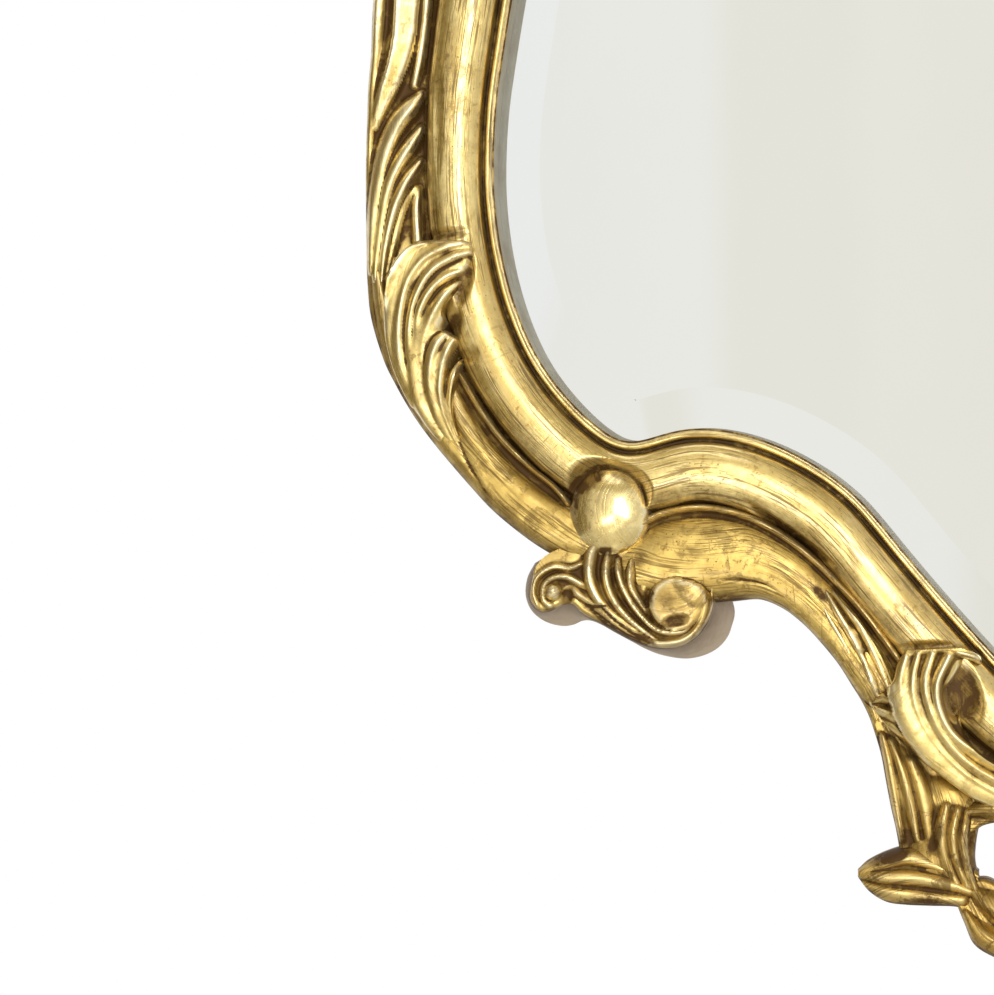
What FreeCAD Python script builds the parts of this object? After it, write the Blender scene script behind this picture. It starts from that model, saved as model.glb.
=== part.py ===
import FreeCAD, Part
import math
import os

from FreeCAD import Vector

# A carved and gilded wall mirror with a bevelled glass, in millimetres.
# X runs to the right, Z up, and the front faces -Y. The plane y = 0 is the wall.
# The origin lies on the wall side of the upper bumper, on the centre line.

# Driving sizes of the glass opening
opening_half_width = 278.0
opening_half_height = 400.0
bumper_above_opening = 33.0

# Section of the frame members
member_width = 52.0
member_flare = 4.0
member_depth = 22.0
rebate_width = 7.0

# What lies in the rebate, from the lip to the back
bedding_depth = 1.0
bedding_width = 5.0
glass_depth = 5.0
glass_edge_depth = 3.0
bevel_width = 20.0
board_depth = 9.0
fit_clearance = 0.3

# Moulding along the opening: lip bead, groove, rounded band and cove
band_seat = 3.0
lip_width = 4.8
lip_rise = 8.0
groove_width = 1.4
band_width = 25.0
band_rise = 15.0
cove_width = 2.6

# Carved ornament, above the front of the members
relief = 20.0
ground_depth = 3.0
base_ground_depth = 8.0
turnover_high_share = 0.72
fluted_high_share = 0.55
scroll_bead_width = 3.8
scroll_bead_rise = 12.0
scroll_rim_rise = 7.0
scroll_width = 16.0
boss_radius = 14.5
boss_rise = 19.0
skirt_depth = 15.0
scroll_end_rise = 7.0

# Corner tenons
tenon_width = 26.0
tenon_length = 34.0
tenon_depth = 7.0

# Turn buttons and their screws
button_reach = 20.0
button_tail = 7.0
button_width = 12.0
button_depth = 2.0
button_gap = 0.2
button_edge_distance = 9.0
button_screw_radius = 1.9
button_screw_length = 12.0
button_head_radius = 4.0
button_head_rise = 1.8
running_clearance = 0.08

# Strap hangers, their rings and screws
strap_width = 18.0
strap_length = 36.0
strap_depth = 1.5
knuckle_radius = 3.9
ring_wire_radius = 2.0
ring_inner_width = 21.0
ring_inner_length = 16.0
hanger_offset = 31.0
hanger_share = 0.75
strap_screw_radius = 1.75
strap_screw_length = 13.0
strap_head_radius = 3.3
strap_head_rise = 1.2
first_screw_distance = 9.0
second_screw_distance = 27.0

# Wall bumpers
bumper_radius = 8.0
bumper_depth = 8.0
bumper_offset = 30.0

# How finely round forms are cut into flats
chord_turn = 20.0
chord_length = 110.0
dome_sides = 10
round_sides = 8
wire_sides = 6
lip_sides = 2
band_sides = 5
overrun = 1.0

# Places on the front are picture coordinates in pixels, x to the right and y down. These four values
# tie them to the driving sizes, so that every outline follows the opening.
centre_line_px = 1155.0
mid_height_px = -218.0
half_width_px = 662.5
half_height_px = 952.0

mm_per_px = opening_half_width / half_width_px
mid_z = -(opening_half_height + bumper_above_opening)
frame_back = -bumper_depth
frame_front = frame_back - member_depth
rebate_depth = bedding_depth + glass_depth + board_depth + fit_clearance

UP, ACROSS, BACKWARD = Vector(0, 0, 1), Vector(1, 0, 0), Vector(0, 1, 0)
MIDDLE = Vector(0, 0, mid_z)


def at(x_px, y_px, y=0.0):
    """Point of the model for a traced place, at depth y."""
    x = (x_px - centre_line_px) * opening_half_width / half_width_px
    z = mid_z + (mid_height_px - y_px) * opening_half_height / half_height_px
    return Vector(x, y, z)


def turned(direction, degrees):
    """Direction turned in the X-Z plane, from +X towards +Z."""
    a = math.radians(degrees)
    c, s = math.cos(a), math.sin(a)
    return Vector(direction.x * c - direction.z * s, 0, direction.x * s + direction.z * c)


def angle_of(direction):
    return math.degrees(math.atan2(direction.z, direction.x))


class Run:
    """One arc or straight run of the sight line. Outward is away from the glass."""

    def __init__(self, start, direction, end):
        self.start, self.end, self.direction = start, end, direction
        chord = end - start
        lean = 2 * turned(direction, 90).dot(chord)
        self.straight = abs(lean) < 1e-3 * chord.Length
        self.turn, self.length = 0.0, chord.Length
        if not self.straight:
            radius = chord.dot(chord) / lean
            self.centre = start + turned(direction, 90) * radius
            side = angle_of(chord) - angle_of(direction)
            self.turn = 2 * ((side + 180) % 360 - 180)
            self.length = abs(radius * math.radians(self.turn))

    def outward(self, share):
        """Unit direction away from the glass, at a share of the run."""
        return turned(self.direction, 90 + self.turn * share)

    def point(self, share, offset, y):
        """Point at a share of the run, offset away from the glass, at depth y."""
        if self.straight:
            base = self.start + (self.end - self.start) * share
        else:
            base = self.centre + turned(self.start - self.centre, self.turn * share)
        return base + self.outward(share) * offset + Vector(0, y, 0)

    def shares(self):
        """Shares of the run at which its chords start."""
        count = max(abs(self.turn) / chord_turn, self.length / chord_length)
        count = max(1, math.ceil(count))
        return [i / count for i in range(count)]


def biarc(start, start_angle, end, end_angle):
    """Two tangent arcs from one place and heading to the next, with equal tangent lengths."""
    t0, t1 = turned(ACROSS, start_angle), turned(ACROSS, end_angle)
    v, t = end - start, t0 + t1
    k = 2 * (1 - t0.dot(t1))
    if k < 1e-9:
        d = v.dot(v) / (4 * v.dot(t1))
    else:
        d = (-v.dot(t) + math.sqrt(v.dot(t) ** 2 + k * v.dot(v))) / k
    middle = (start + end + (t0 - t1) * d) * 0.5
    first = Run(start, t0, middle)
    return [first, Run(middle, turned(t0, first.turn), end)]


# Turning points of the sight line's lower left quarter
BOTTOM_PX, FLANK_LOW_PX, FLANK_HIGH_PX = (centre_line_px, 734), (985, 645), (868, 508)
ARCH_PX, DIP_PX, CORNER_PX, SHOULDER_PX = (712, 427), (655, 436), (575, 407), (525, 338)
WIDEST_PX, WAIST_PX = (492, 175), (545, mid_height_px)
# The base scroll starts at this share of the flank
flank_split_share = 0.25


def sight_line():
    """Lower left quarter of the sight line by name of stretch, from the bottom centre to mid height."""
    low, high = at(*FLANK_LOW_PX), at(*FLANK_HIGH_PX)
    slope = angle_of(high - low)
    split = low + (high - low) * flank_split_share
    return {
        "lobe": biarc(at(*BOTTOM_PX), 180, low, slope),
        "low_flank": [Run(low, turned(ACROSS, slope), split)],
        "flank": [Run(split, turned(ACROSS, slope), high)],
        "arch": biarc(high, slope, at(*ARCH_PX), 180),
        "dip": biarc(at(*ARCH_PX), 180, at(*DIP_PX), 198),
        "corner": biarc(at(*DIP_PX), 198, at(*CORNER_PX), 137),
        "shoulder": biarc(at(*CORNER_PX), 137, at(*SHOULDER_PX), 117.5),
        "side": biarc(at(*SHOULDER_PX), 117.5, at(*WIDEST_PX), 90),
        "waist": biarc(at(*WIDEST_PX), 90, at(*WAIST_PX), 90),
    }


stretches = sight_line()


def runs_of(*names):
    """Runs of the named stretches, one after the other."""
    return [run for name in names for run in stretches[name]]


rail_runs = runs_of("lobe", "low_flank", "flank", "arch", "dip", "corner")
stile_runs = runs_of("shoulder", "side", "waist")


def flip_x(v):
    return Vector(-v.x, v.y, v.z)


def flip_z(v):
    return Vector(v.x, v.y, 2 * mid_z - v.z)


def placed(shape, side, level):
    """Copy of a lower left shape at a side (-1 left, 1 right) and a level (-1 lower, 1 upper)."""
    if side > 0:
        shape = shape.mirror(Vector(), ACROSS)
    if level > 0:
        shape = shape.mirror(MIDDLE, UP)
    return shape


def polygon(points):
    """Flat face with straight edges."""
    return Part.Face(Part.makePolygon(points + points[:1]))


def solid_of(faces):
    """Closed solid of flat faces that meet edge to edge."""
    shell = Part.makeShell(faces)
    shell.sewShape()
    solid = Part.makeSolid(shell)
    if solid.Volume < 0:
        solid.reverse()
    return solid


def skin(sections, split=False):
    """Solid through matching sections: flat quads between them, or pairs of triangles, and two caps."""
    faces = [polygon(sections[0]), polygon(sections[-1])]
    count = len(sections[0])
    for near, far in zip(sections, sections[1:]):
        for i in range(count):
            j = (i + 1) % count
            if split:
                faces.append(polygon([near[i], near[j], far[j]]))
                faces.append(polygon([near[i], far[j], far[i]]))
            else:
                faces.append(polygon([near[i], near[j], far[j], far[i]]))
    return solid_of(faces)


def prism(points, depth):
    """Straight block behind or before a flat outline."""
    return polygon(points).extrude(Vector(0, depth, 0))


def joined(shapes):
    """One solid from overlapping shapes."""
    if len(shapes) > 1:
        shapes = [shapes[0].multiFuse(shapes[1:]).removeSplitter()]
    return largest(shapes[0])


def largest(shape):
    return max(shape.Solids, key=lambda solid: solid.Volume)


def without(shape, others):
    """What is left of a solid beside the others, in one piece, so that it seats on them."""
    return largest(shape.cut(others))


def carried(runs, profile):
    """Sections of a profile, drawn in offset and depth, at every chord along tangent runs."""
    places = [(run, share) for run in runs for share in run.shares()] + [(runs[-1], 1)]
    return [[run.point(share, n, frame_back - d) for n, d in profile] for run, share in places]


def quarter_ring(offset, y):
    """Chord points of the lower left quarter of the line parallel to the sight line."""
    runs = rail_runs + stile_runs
    points = [run.point(share, offset, y) for run in runs for share in run.shares()]
    return points + [runs[-1].point(1, offset, y)]


def ring(offset, y):
    """Closed line of points parallel to the sight line, all the way round."""
    quarter = quarter_ring(offset, y)
    left = quarter + [flip_z(v) for v in quarter[-2::-1]]
    return left + [flip_x(v) for v in left[-2:0:-1]]


def rounded(start, width, foot, top, steps):
    """Points of a half round from one foot to the other, in offset and depth."""
    points = []
    for i in range(steps + 1):
        a = math.pi * i / steps
        points.append((start + width * (1 - math.cos(a)) / 2, foot + (top - foot) * math.sin(a)))
    return points


def member_profile():
    """Section of a frame member: flared side wall, flat front, thin sight edge and rear rebate."""
    return [
        (0, member_depth),
        (0, rebate_depth),
        (rebate_width, rebate_depth),
        (rebate_width, 0),
        (member_width + member_flare, 0),
        (member_width, member_depth),
    ]


band_edge = lip_width + groove_width + band_width + cove_width


def band_profile():
    """Section of the moulding: round lip bead, groove, wide rounded band and a small outer cove."""
    foot = member_depth + band_seat
    points = [(0, member_depth)]
    points += rounded(0, lip_width, foot, member_depth + lip_rise, lip_sides)
    points += rounded(lip_width + groove_width, band_width, foot, member_depth + band_rise,
                      band_sides)
    return points + [(band_edge, foot), (band_edge, member_depth)]


def scroll_profile():
    """Section of a C-scroll ribbon: raised bead, hollow and a lower rounded rim."""
    floor = member_depth + ground_depth
    bead_foot = member_depth + scroll_bead_rise - scroll_bead_width / 2
    hollow = band_edge + 2 * scroll_bead_width
    end = band_edge + scroll_width
    points = [(band_edge, member_depth)]
    points += rounded(band_edge, scroll_bead_width, bead_foot, member_depth + scroll_bead_rise,
                      lip_sides)
    points += [(hollow, floor), ((hollow + end) / 2, member_depth + scroll_rim_rise)]
    return points + [(end, floor), (end, member_depth)]


def both_halves(half, flip):
    """Sections of a half, continued by their mirror images beyond its first section."""
    return [[flip(v) for v in section] for section in half[:0:-1]] + half


def members():
    """The four frame members and the four mouldings on them, split at the mitres."""
    made = {}
    for suffix, profile in (("", member_profile()), ("_band", band_profile())):
        rail = skin(both_halves(carried(rail_runs, profile), flip_x))
        stile = skin(both_halves(carried(stile_runs, profile)[::-1], flip_z))
        made["bottom_rail" + suffix] = rail
        made["top_rail" + suffix] = placed(rail, -1, 1)
        made["left_stile" + suffix] = stile
        made["right_stile" + suffix] = placed(stile, 1, -1)
    return made


def glass():
    """Mirror plate with a bevel all round its front edge."""
    edge = rebate_width - fit_clearance
    front = frame_back - rebate_depth + bedding_depth
    back = front + glass_depth
    rim = back - glass_edge_depth
    return skin([ring(edge, back), ring(edge, rim), ring(edge - bevel_width, front)])


def board():
    """Backing board behind the glass."""
    edge = rebate_width - fit_clearance
    return prism(ring(edge, frame_back - fit_clearance), -board_depth)


def bedding():
    """Soft strip between the lip and the glass."""
    edge = rebate_width - fit_clearance
    front = frame_back - rebate_depth
    outer = Part.makePolygon(ring(edge, front) + ring(edge, front)[:1])
    inner = Part.makePolygon(ring(edge - bedding_width, front) + ring(edge - bedding_width, front)[:1])
    return Part.Face([outer, inner]).extrude(Vector(0, bedding_depth, 0))


def tenons():
    """Loose tenons across the four mitres, half in the rail and half in the stile."""
    run = stile_runs[0]
    along, outward = run.direction, run.outward(0)
    centre = run.point(0, rebate_width + (member_width - rebate_width) / 2, 0)
    corners = []
    for a, b in ((-1, -1), (1, -1), (1, 1), (-1, 1)):
        corners.append(centre + along * (a * tenon_length / 2) + outward * (b * tenon_width / 2))
    middle = frame_back - member_depth / 2
    points = [v + Vector(0, middle + tenon_depth / 2, 0) for v in corners]
    lower_left = prism(points, -tenon_depth)
    return [placed(lower_left, side, level) for side in (-1, 1) for level in (-1, 1)]


# Carved strands: each is a list of stations (x, y, half width, rise), with places and half widths
# in picture pixels and rises as shares of the relief.
SIDE_LEAF_PX = [
    [(427, mid_height_px, 13, .35), (427, -150, 14, .4), (417, -60, 15, .5), (405, 22, 15, .6), (393, 68, 12, .55),
     (375, 122, 3, .3)],
    [(418, 96, 6, .4), (396, 122, 10, .65), (378, 178, 9, .65), (370, 232, 6, .4), (367, 282, 2, .2)],
    [(420, 134, 6, .45), (400, 170, 11, .7), (387, 224, 8, .5), (377, 284, 3, .2)],
]
SIDE_GROUND_PX = [
    (456, mid_height_px), (446, -90), (430, 0), (420, 70), (418, 200), (402, 240), (388, 290),
    (366, 290), (361, 240), (360, 180), (364, 110), (368, 40), (371, -30), (383, -110),
    (396, mid_height_px),
]
TURNOVER_PX = [
    [(434, 241, 5, .85), (407, 256, 11, .95), (391, 294, 9, .65), (386, 334, 3, .3)],
    [(466, 245, 5, 1.05), (434, 252, 11, 1.15), (408, 284, 10, .95), (396, 340, 9, .7),
     (404, 398, 6, .4), (428, 440, 3, .2)],
    [(466, 266, 5, 1.05), (436, 284, 10, 1.1), (415, 318, 9, .85), (409, 366, 9, .65),
     (424, 420, 6, .35), (450, 458, 3, .2)],
    [(449, 330, 5, .9), (431, 352, 9, .8), (427, 394, 8, .6), (440, 432, 5, .35), (460, 458, 3, .2)],
]
TURNOVER_GROUND_PX = [
    (432, 236), (470, 238), (472, 272), (458, 300), (458, 330), (446, 362), (448, 396), (460, 430),
    (468, 460), (452, 466), (426, 448), (404, 420), (391, 385), (383, 345), (379, 310), (384, 275),
    (402, 248),
]
BOSS_PX = (611, 503)
BOSS_SHARES = ((1, 0), (1, .35), (.82, .74), (.42, .97))
BOSS_RIM_PX = [
    (566, 478, 5, .35), (584, 459, 6, .5), (612, 453, 6, .5), (640, 464, 6, .5), (654, 483, 6, .45),
    (660, 504, 4, .3),
]
CLASP_STRANDS_PX = [
    [(600, 550, 6, .5), (594, 574, 10, .8), (602, 602, 10, .85), (640, 640, 4, .5)],
    [(618, 558, 6, .5), (615, 582, 10, .9), (624, 608, 10, .9), (652, 640, 4, .5)],
    [(640, 558, 6, .5), (636, 584, 11, .9), (646, 612, 9, .9), (666, 640, 4, .5)],
]
CLASP_GROUND_PX = [
    (566, 548), (600, 540), (650, 544), (690, 556), (722, 582), (731, 606), (728, 630), (712, 648),
    (685, 656), (655, 650), (630, 638), (598, 622), (562, 622), (536, 610), (528, 590), (534, 570),
    (546, 556),
]
SMALL_SCROLL_PX = (558, 587, 26)
BIG_SCROLL_PX = (685, 602, 42)
SCROLL_END_SHARES = ((1, 0), (1, .6), (.62, .9), (.5, .6), (.3, 1.15))
BASE_LEAF_PX = [
    [(776, 582, 4, .5), (802, 602, 8, .6), (822, 634, 6, .55), (834, 662, 3, .45)],
    [(822, 608, 5, .55), (842, 636, 9, .7), (860, 670, 6, .6), (874, 698, 3, .45)],
    [(843, 624, 4, .6), (862, 650, 6, .75), (878, 678, 6, .6), (889, 702, 3, .45)],
]
BASE_GROUND_PX = [
    (766, 573), (790, 577), (816, 594), (840, 617), (866, 650), (886, 676), (896, 692), (896, 712),
    (868, 714), (846, 690), (822, 662), (800, 622), (786, 606), (766, 594),
]
FLUTED_PX = [
    [(908, 660, 5, .8), (902, 694, 9, .8), (911, 732, 7, .55), (936, 774, 3, .25)],
    [(926, 658, 6, .9), (920, 694, 10, .85), (936, 738, 9, .6), (990, 798, 3, .25)],
    [(946, 658, 7, .95), (937, 694, 10, .9), (955, 738, 9, .65), (1014, 792, 3, .3)],
    [(962, 664, 6, .9), (954, 702, 9, .8), (978, 744, 8, .6), (1042, 790, 3, .3)],
]
FLUTED_GROUND_PX = [
    (898, 654), (935, 648), (972, 656), (972, 700), (994, 732), (1048, 774), (1048, 806), (980, 806),
    (930, 784), (900, 756), (886, 716), (890, 684),
]
APRON_STRANDS_PX = [
    [(882, 746, 5, .4), (892, 786, 9, .5), (900, 846, 3, .2)],
    [(946, 806, 6, .4), (943, 846, 10, .6), (962, 888, 6, .4)],
    [(946, 870, 8, .4), (902, 872, 11, .55), (858, 876, 4, .2)],
    [(940, 898, 6, .35), (986, 936, 9, .5), (1060, 972, 9, .5), (1112, 1002, 6, .35)],
    [(1010, 809, 6, .4), (1066, 816, 10, .5), (1102, 866, 10, .5), (1076, 930, 6, .3)],
    [(1124, 812, 6, .4), (1115, 880, 12, .65), (1106, 950, 11, .55), (1096, 996, 5, .3)],
    [(1140, 802, 6, .5), (1134, 880, 12, .85), (1130, 960, 12, .7), (1122, 1024, 5, .4)],
]
APRON_SPINE_PX = [(centre_line_px, 790, 7, .6), (centre_line_px, 870, 13, 1.0), (centre_line_px, 960, 13, .9),
                  (centre_line_px, 1036, 4, .45)]
CREST_SPINE_PX = APRON_SPINE_PX[:-1] + [(centre_line_px, 1050, 13, .8), (centre_line_px, 1118, 5, .35)]
APRON_OUTLINE_PX = [
    (874, 742), (884, 780), (892, 820), (897, 850), (872, 862), (856, 874), (868, 891), (890, 903),
    (930, 906), (958, 910), (970, 934), (986, 952), (1020, 968), (1062, 985), (1092, 1002),
    (1118, 1028), (centre_line_px, 1042), (centre_line_px, 780), (960, 730),
]
APRON_HOLE_PX = [
    (986, 824), (1030, 828), (1066, 840), (1084, 864), (1076, 892), (1046, 904), (1008, 896), (984, 878),
    (977, 852),
]
PLUME_PX = [
    [(1102, 985, 8, .45), (1109, 1020, 12, .6), (1110, 1070, 4, .3)],
    [(1126, 1000, 9, .55), (1132, 1044, 13, .7), (1133, 1098, 4, .3)],
]


def strand(stations, seat, base=0.0):
    """A tapering leaf strand: two sloping faces that meet in a ridge, between its stations."""
    places = [at(x, y) for x, y, _, _ in stations]
    sections = []
    for i, (_, _, half, rise) in enumerate(stations):
        ahead = places[min(i + 1, len(places) - 1)] - places[max(i - 1, 0)]
        across = turned(ahead, 90)
        across.normalize()
        across = across * (half * mm_per_px)
        foot, crest = Vector(0, seat + base, 0), Vector(0, seat - rise * relief, 0)
        sections.append([places[i] + across + foot, places[i] + crest, places[i] - across + foot])
    return skin(sections, split=True)


def sloping_ground(outline_px, high_share, depth):
    """Body of a leaf: this deep at its lowest place, high_share of the relief more at its highest."""
    feet = [at(x, y, frame_front) for x, y in outline_px]
    low, high = min(v.z for v in feet), max(v.z for v in feet)
    tops = []
    for foot in feet:
        rise = depth + relief * high_share * (foot.z - low) / (high - low)
        tops.append(foot - BACKWARD * rise)
    return skin([feet, tops])


def leaf(strands_px, ground_px, high_share=0.0, depth=ground_depth):
    """Carved leaf: a sloping body on the frame with its strands standing out of it."""
    body = sloping_ground(ground_px, high_share, depth)
    return joined([body] + [strand(line, frame_front) for line in strands_px])


def dome(place_px, radius, foot, rise, shares):
    """Round boss as stacked rings: shares give each ring's radius and height."""
    centre = at(*place_px)
    sections = []
    for radius_share, rise_share in shares:
        y = foot - rise * rise_share
        spoke = ACROSS * (radius * radius_share)
        sections.append([centre + turned(spoke, 360 * i / dome_sides) + Vector(0, y, 0)
                         for i in range(dome_sides)])
    return skin(sections)


def boss():
    """Cabochon with the rolled rim that runs round its upper side."""
    cabochon = dome(BOSS_PX, boss_radius, frame_front, boss_rise, BOSS_SHARES)
    return joined([cabochon, strand(BOSS_RIM_PX, frame_front)])


def clasp():
    """Corner clasp: a block down the side walls, two scroll ends and the strands between them."""
    seat = frame_front - ground_depth
    ground = prism([at(x, y, frame_front + skirt_depth) for x, y in CLASP_GROUND_PX],
                   -skirt_depth - ground_depth)
    pieces = [ground]
    for x, y, radius_px in (SMALL_SCROLL_PX, BIG_SCROLL_PX):
        pieces.append(dome((x, y), radius_px * mm_per_px, seat, scroll_end_rise,
                           SCROLL_END_SHARES))
    pieces += [strand(line, seat, ground_depth) for line in CLASP_STRANDS_PX]
    return joined(pieces)


def corner_ornament(around):
    """The carved pieces of the lower left corner, each cut to seat on what lies before it."""
    made = {}
    side_runs = runs_of("corner")[1:] + runs_of("shoulder")
    base_leaf = without(leaf(BASE_LEAF_PX, BASE_GROUND_PX, 0.0, base_ground_depth), around)
    base_scroll = skin(carried(runs_of("flank", "arch", "dip"), scroll_profile()))
    made["base_leaf"] = base_leaf
    made["base_scroll"] = without(base_scroll, [base_leaf])
    made["side_scroll"] = skin(carried(side_runs, scroll_profile()))
    carved = [
        ("boss", boss()),
        ("clasp", clasp()),
        ("turnover_leaf", leaf(TURNOVER_PX, TURNOVER_GROUND_PX, turnover_high_share)),
        ("side_leaf", leaf(SIDE_LEAF_PX, SIDE_GROUND_PX)),
        ("fluted_leaf", leaf(FLUTED_PX, FLUTED_GROUND_PX, fluted_high_share)),
    ]
    for name, shape in carved:
        made[name] = without(shape, around + list(made.values()))
    return made


def apron(around, spine_px, more_strands_px):
    """Pierced apron in one piece: a plate beside the rail with two openings, leaves and a shell."""
    back = frame_front + skirt_depth
    plate = prism([at(x, y, back) for x, y in APRON_OUTLINE_PX], -skirt_depth - ground_depth)
    hole = prism([at(x, y, back + overrun) for x, y in APRON_HOLE_PX],
                 -skirt_depth - ground_depth - relief - 2 * overrun)
    strands = [strand(places, frame_front) for places in APRON_STRANDS_PX + more_strands_px]
    half = joined([plate.cut(hole)] + strands)
    return without(joined([half, half.mirror(Vector(), ACROSS), strand(spine_px, frame_front)]), around)


def turn_button_places():
    """Pivot point and outward direction of each turn button, by name."""
    side_run, bottom_run = stretches["waist"][0], stretches["lobe"][0]
    offset = rebate_width + button_edge_distance
    low_left, out_left = side_run.point(0, offset, 0), side_run.outward(0)
    low, down = bottom_run.point(0, offset, 0), bottom_run.outward(0)
    return {
        "lower_left": (low_left, out_left),
        "lower_right": (flip_x(low_left), flip_x(out_left)),
        "upper_left": (flip_z(low_left), Vector(out_left.x, 0, -out_left.z)),
        "upper_right": (flip_x(flip_z(low_left)), Vector(-out_left.x, 0, -out_left.z)),
        "bottom": (low, down),
        "top": (flip_z(low), down * -1),
    }


def round_points(centre, radius, u, v, sides, first=0.0, last=360.0):
    """Points round a circle, or part of it, in the plane of two unit directions."""
    full = last - first >= 360
    points = []
    for i in range(sides if full else sides + 1):
        a = math.radians(first + (last - first) * i / sides)
        points.append(centre + u * (radius * math.cos(a)) + v * (radius * math.sin(a)))
    return points


def clear_radius(radius):
    """Corner radius of a many-sided bore whose flats clear a round of this radius."""
    return (radius + running_clearance) / math.cos(math.pi / round_sides)


def turn_button(pivot, outward):
    """Flat brass button with round ends and a pivot hole."""
    lift = Vector(0, frame_back + button_gap, 0)
    side = turned(outward, 90)
    half = button_width / 2
    tail = pivot + outward * (button_tail - half) + lift
    tip = pivot - outward * (button_reach - half) + lift
    outline = round_points(tail, half, side, outward, round_sides // 2, 0, 180)
    outline += round_points(tip, half, side, outward, round_sides // 2, 180)
    plate = prism(outline, button_depth)
    radius = clear_radius(button_screw_radius)
    hole = round_points(pivot + lift - BACKWARD * overrun, radius, side, outward, round_sides)
    return plate.cut(prism(hole, button_depth + 2 * overrun))


def screw(place, under_head, radius, length, head_radius, head_rise):
    """Pan head screw driven from the back: shank towards -Y, head at the back."""
    tip = Vector(place.x, under_head - length, place.z)
    steps = ((radius, 0), (radius, length), (head_radius, length), (head_radius, length + head_rise / 2),
             (head_radius * 0.7, length + head_rise))
    return skin([round_points(tip + BACKWARD * y, r, ACROSS, UP, round_sides) for r, y in steps])


def button_screws():
    under_head = frame_back + button_gap + button_depth + running_clearance
    made = []
    for pivot, _ in turn_button_places().values():
        made.append(screw(pivot, under_head, button_screw_radius, button_screw_length,
                          button_head_radius, button_head_rise))
    return made


def hanger_place():
    """Ring axis of the left hanger, on the back of the upper part of the left stile."""
    run = stretches["waist"][0]
    place = flip_z(run.point(hanger_share, hanger_offset, 0))
    return Vector(place.x, frame_back + knuckle_radius, place.z)


def strap():
    """Strap hanger: screw plate with a knuckle round the ring's bar."""
    axis = hanger_place()
    left = axis - ACROSS * (strap_width / 2)
    corner = Vector(left.x, frame_back, left.z - strap_length)
    plate = Part.makeBox(strap_width, strap_depth, strap_length, corner)
    barrel = polygon(round_points(left, knuckle_radius, BACKWARD, UP, round_sides))
    barrel = barrel.extrude(ACROSS * strap_width)
    start = left - ACROSS * overrun
    bore = polygon(round_points(start, clear_radius(ring_wire_radius), BACKWARD, UP, round_sides))
    bore = bore.extrude(ACROSS * (strap_width + 2 * overrun))
    return plate.fuse(barrel).cut(bore).removeSplitter().Solids[0]


def strap_screw_places():
    axis = hanger_place()
    places = [axis - UP * distance for distance in (first_screw_distance, second_screw_distance)]
    return places + [flip_x(v) for v in places]


def strap_screws():
    under_head = frame_back + strap_depth
    return [screw(place, under_head, strap_screw_radius, strap_screw_length, strap_head_radius,
                  strap_head_rise) for place in strap_screw_places()]


RING_BEND_SHARES = (
    (-1, 0), (-1, -.5), (-.86, -.78), (-.5, -.95), (0, -1), (.5, -.95), (.86, -.78), (1, -.5), (1, 0),
)


def hanger_ring():
    """D ring: a round bar in the knuckle and a bow of the same wire."""
    axis = hanger_place()
    half = ring_inner_width / 2 + ring_wire_radius
    deep = ring_inner_length + 2 * ring_wire_radius
    path = [axis + ACROSS * (half * a) + UP * (deep * b) for a, b in RING_BEND_SHARES]
    sections = []
    for i, place in enumerate(path):
        ahead = path[min(i + 1, len(path) - 1)] - path[max(i - 1, 0)]
        across = turned(ahead, 90)
        across.normalize()
        sections.append(round_points(place, ring_wire_radius, across, BACKWARD, wire_sides))
    bow = skin(sections, split=True)
    left = axis - ACROSS * half
    bar = polygon(round_points(left, ring_wire_radius, BACKWARD, UP, round_sides))
    return largest(bar.extrude(ACROSS * (2 * half)).fuse(bow))


def bumpers():
    """Rubber wall bumpers: one on the top rail's centre line, two on the lower corners."""
    top = Vector()
    low = stretches["arch"][0].point(0, bumper_offset, 0)
    made = []
    for place in (top, low, flip_x(low)):
        foot = Vector(place.x, frame_back, place.z)
        outline = round_points(foot, bumper_radius, ACROSS, UP, 2 * round_sides)
        made.append(prism(outline, bumper_depth))
    return made


def build():
    """Every piece of the mirror, by name: a solid, or a list of like solids."""
    nodes = members()
    member_names = ("bottom_rail", "top_rail", "left_stile", "right_stile")
    tenon_set, button_set, strap_set = tenons(), button_screws(), strap_screws()
    around = [nodes["bottom_rail"], nodes["left_stile"],
              nodes["bottom_rail_band"], nodes["left_stile_band"]]
    corner = corner_ornament(around)
    bottom = [nodes["bottom_rail"], nodes["bottom_rail_band"]]
    for name in ("fluted_leaf", "base_leaf", "base_scroll"):
        bottom += [corner[name], placed(corner[name], 1, -1)]
    nodes["bottom_apron"] = apron(bottom, APRON_SPINE_PX, [])
    nodes["top_crest"] = placed(apron(bottom, CREST_SPINE_PX, PLUME_PX), -1, 1)
    for level, level_name in ((-1, "lower"), (1, "upper")):
        for side, side_name in ((-1, "left"), (1, "right")):
            for name, shape in corner.items():
                nodes["_".join((level_name, side_name, name))] = placed(shape, side, level)
    for name in member_names:
        nodes[name] = nodes[name].cut(tenon_set + button_set + strap_set)
    nodes["mirror_glass"] = glass()
    nodes["backing_board"] = board()
    nodes["bedding_strip"] = bedding()
    nodes["corner_tenons"] = tenon_set
    nodes["turn_button_screws"] = button_set
    nodes["hanger_screws"] = strap_set
    for name, (pivot, outward) in turn_button_places().items():
        nodes["turn_button_" + name] = turn_button(pivot, outward)
    left_strap = strap().cut(strap_set)
    nodes["hanger_straps"] = [left_strap, left_strap.mirror(Vector(), ACROSS)]
    nodes["left_hanger_ring"] = hanger_ring()
    nodes["right_hanger_ring"] = hanger_ring().mirror(Vector(), ACROSS)
    nodes["wall_bumpers"] = bumpers()
    return nodes


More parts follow.
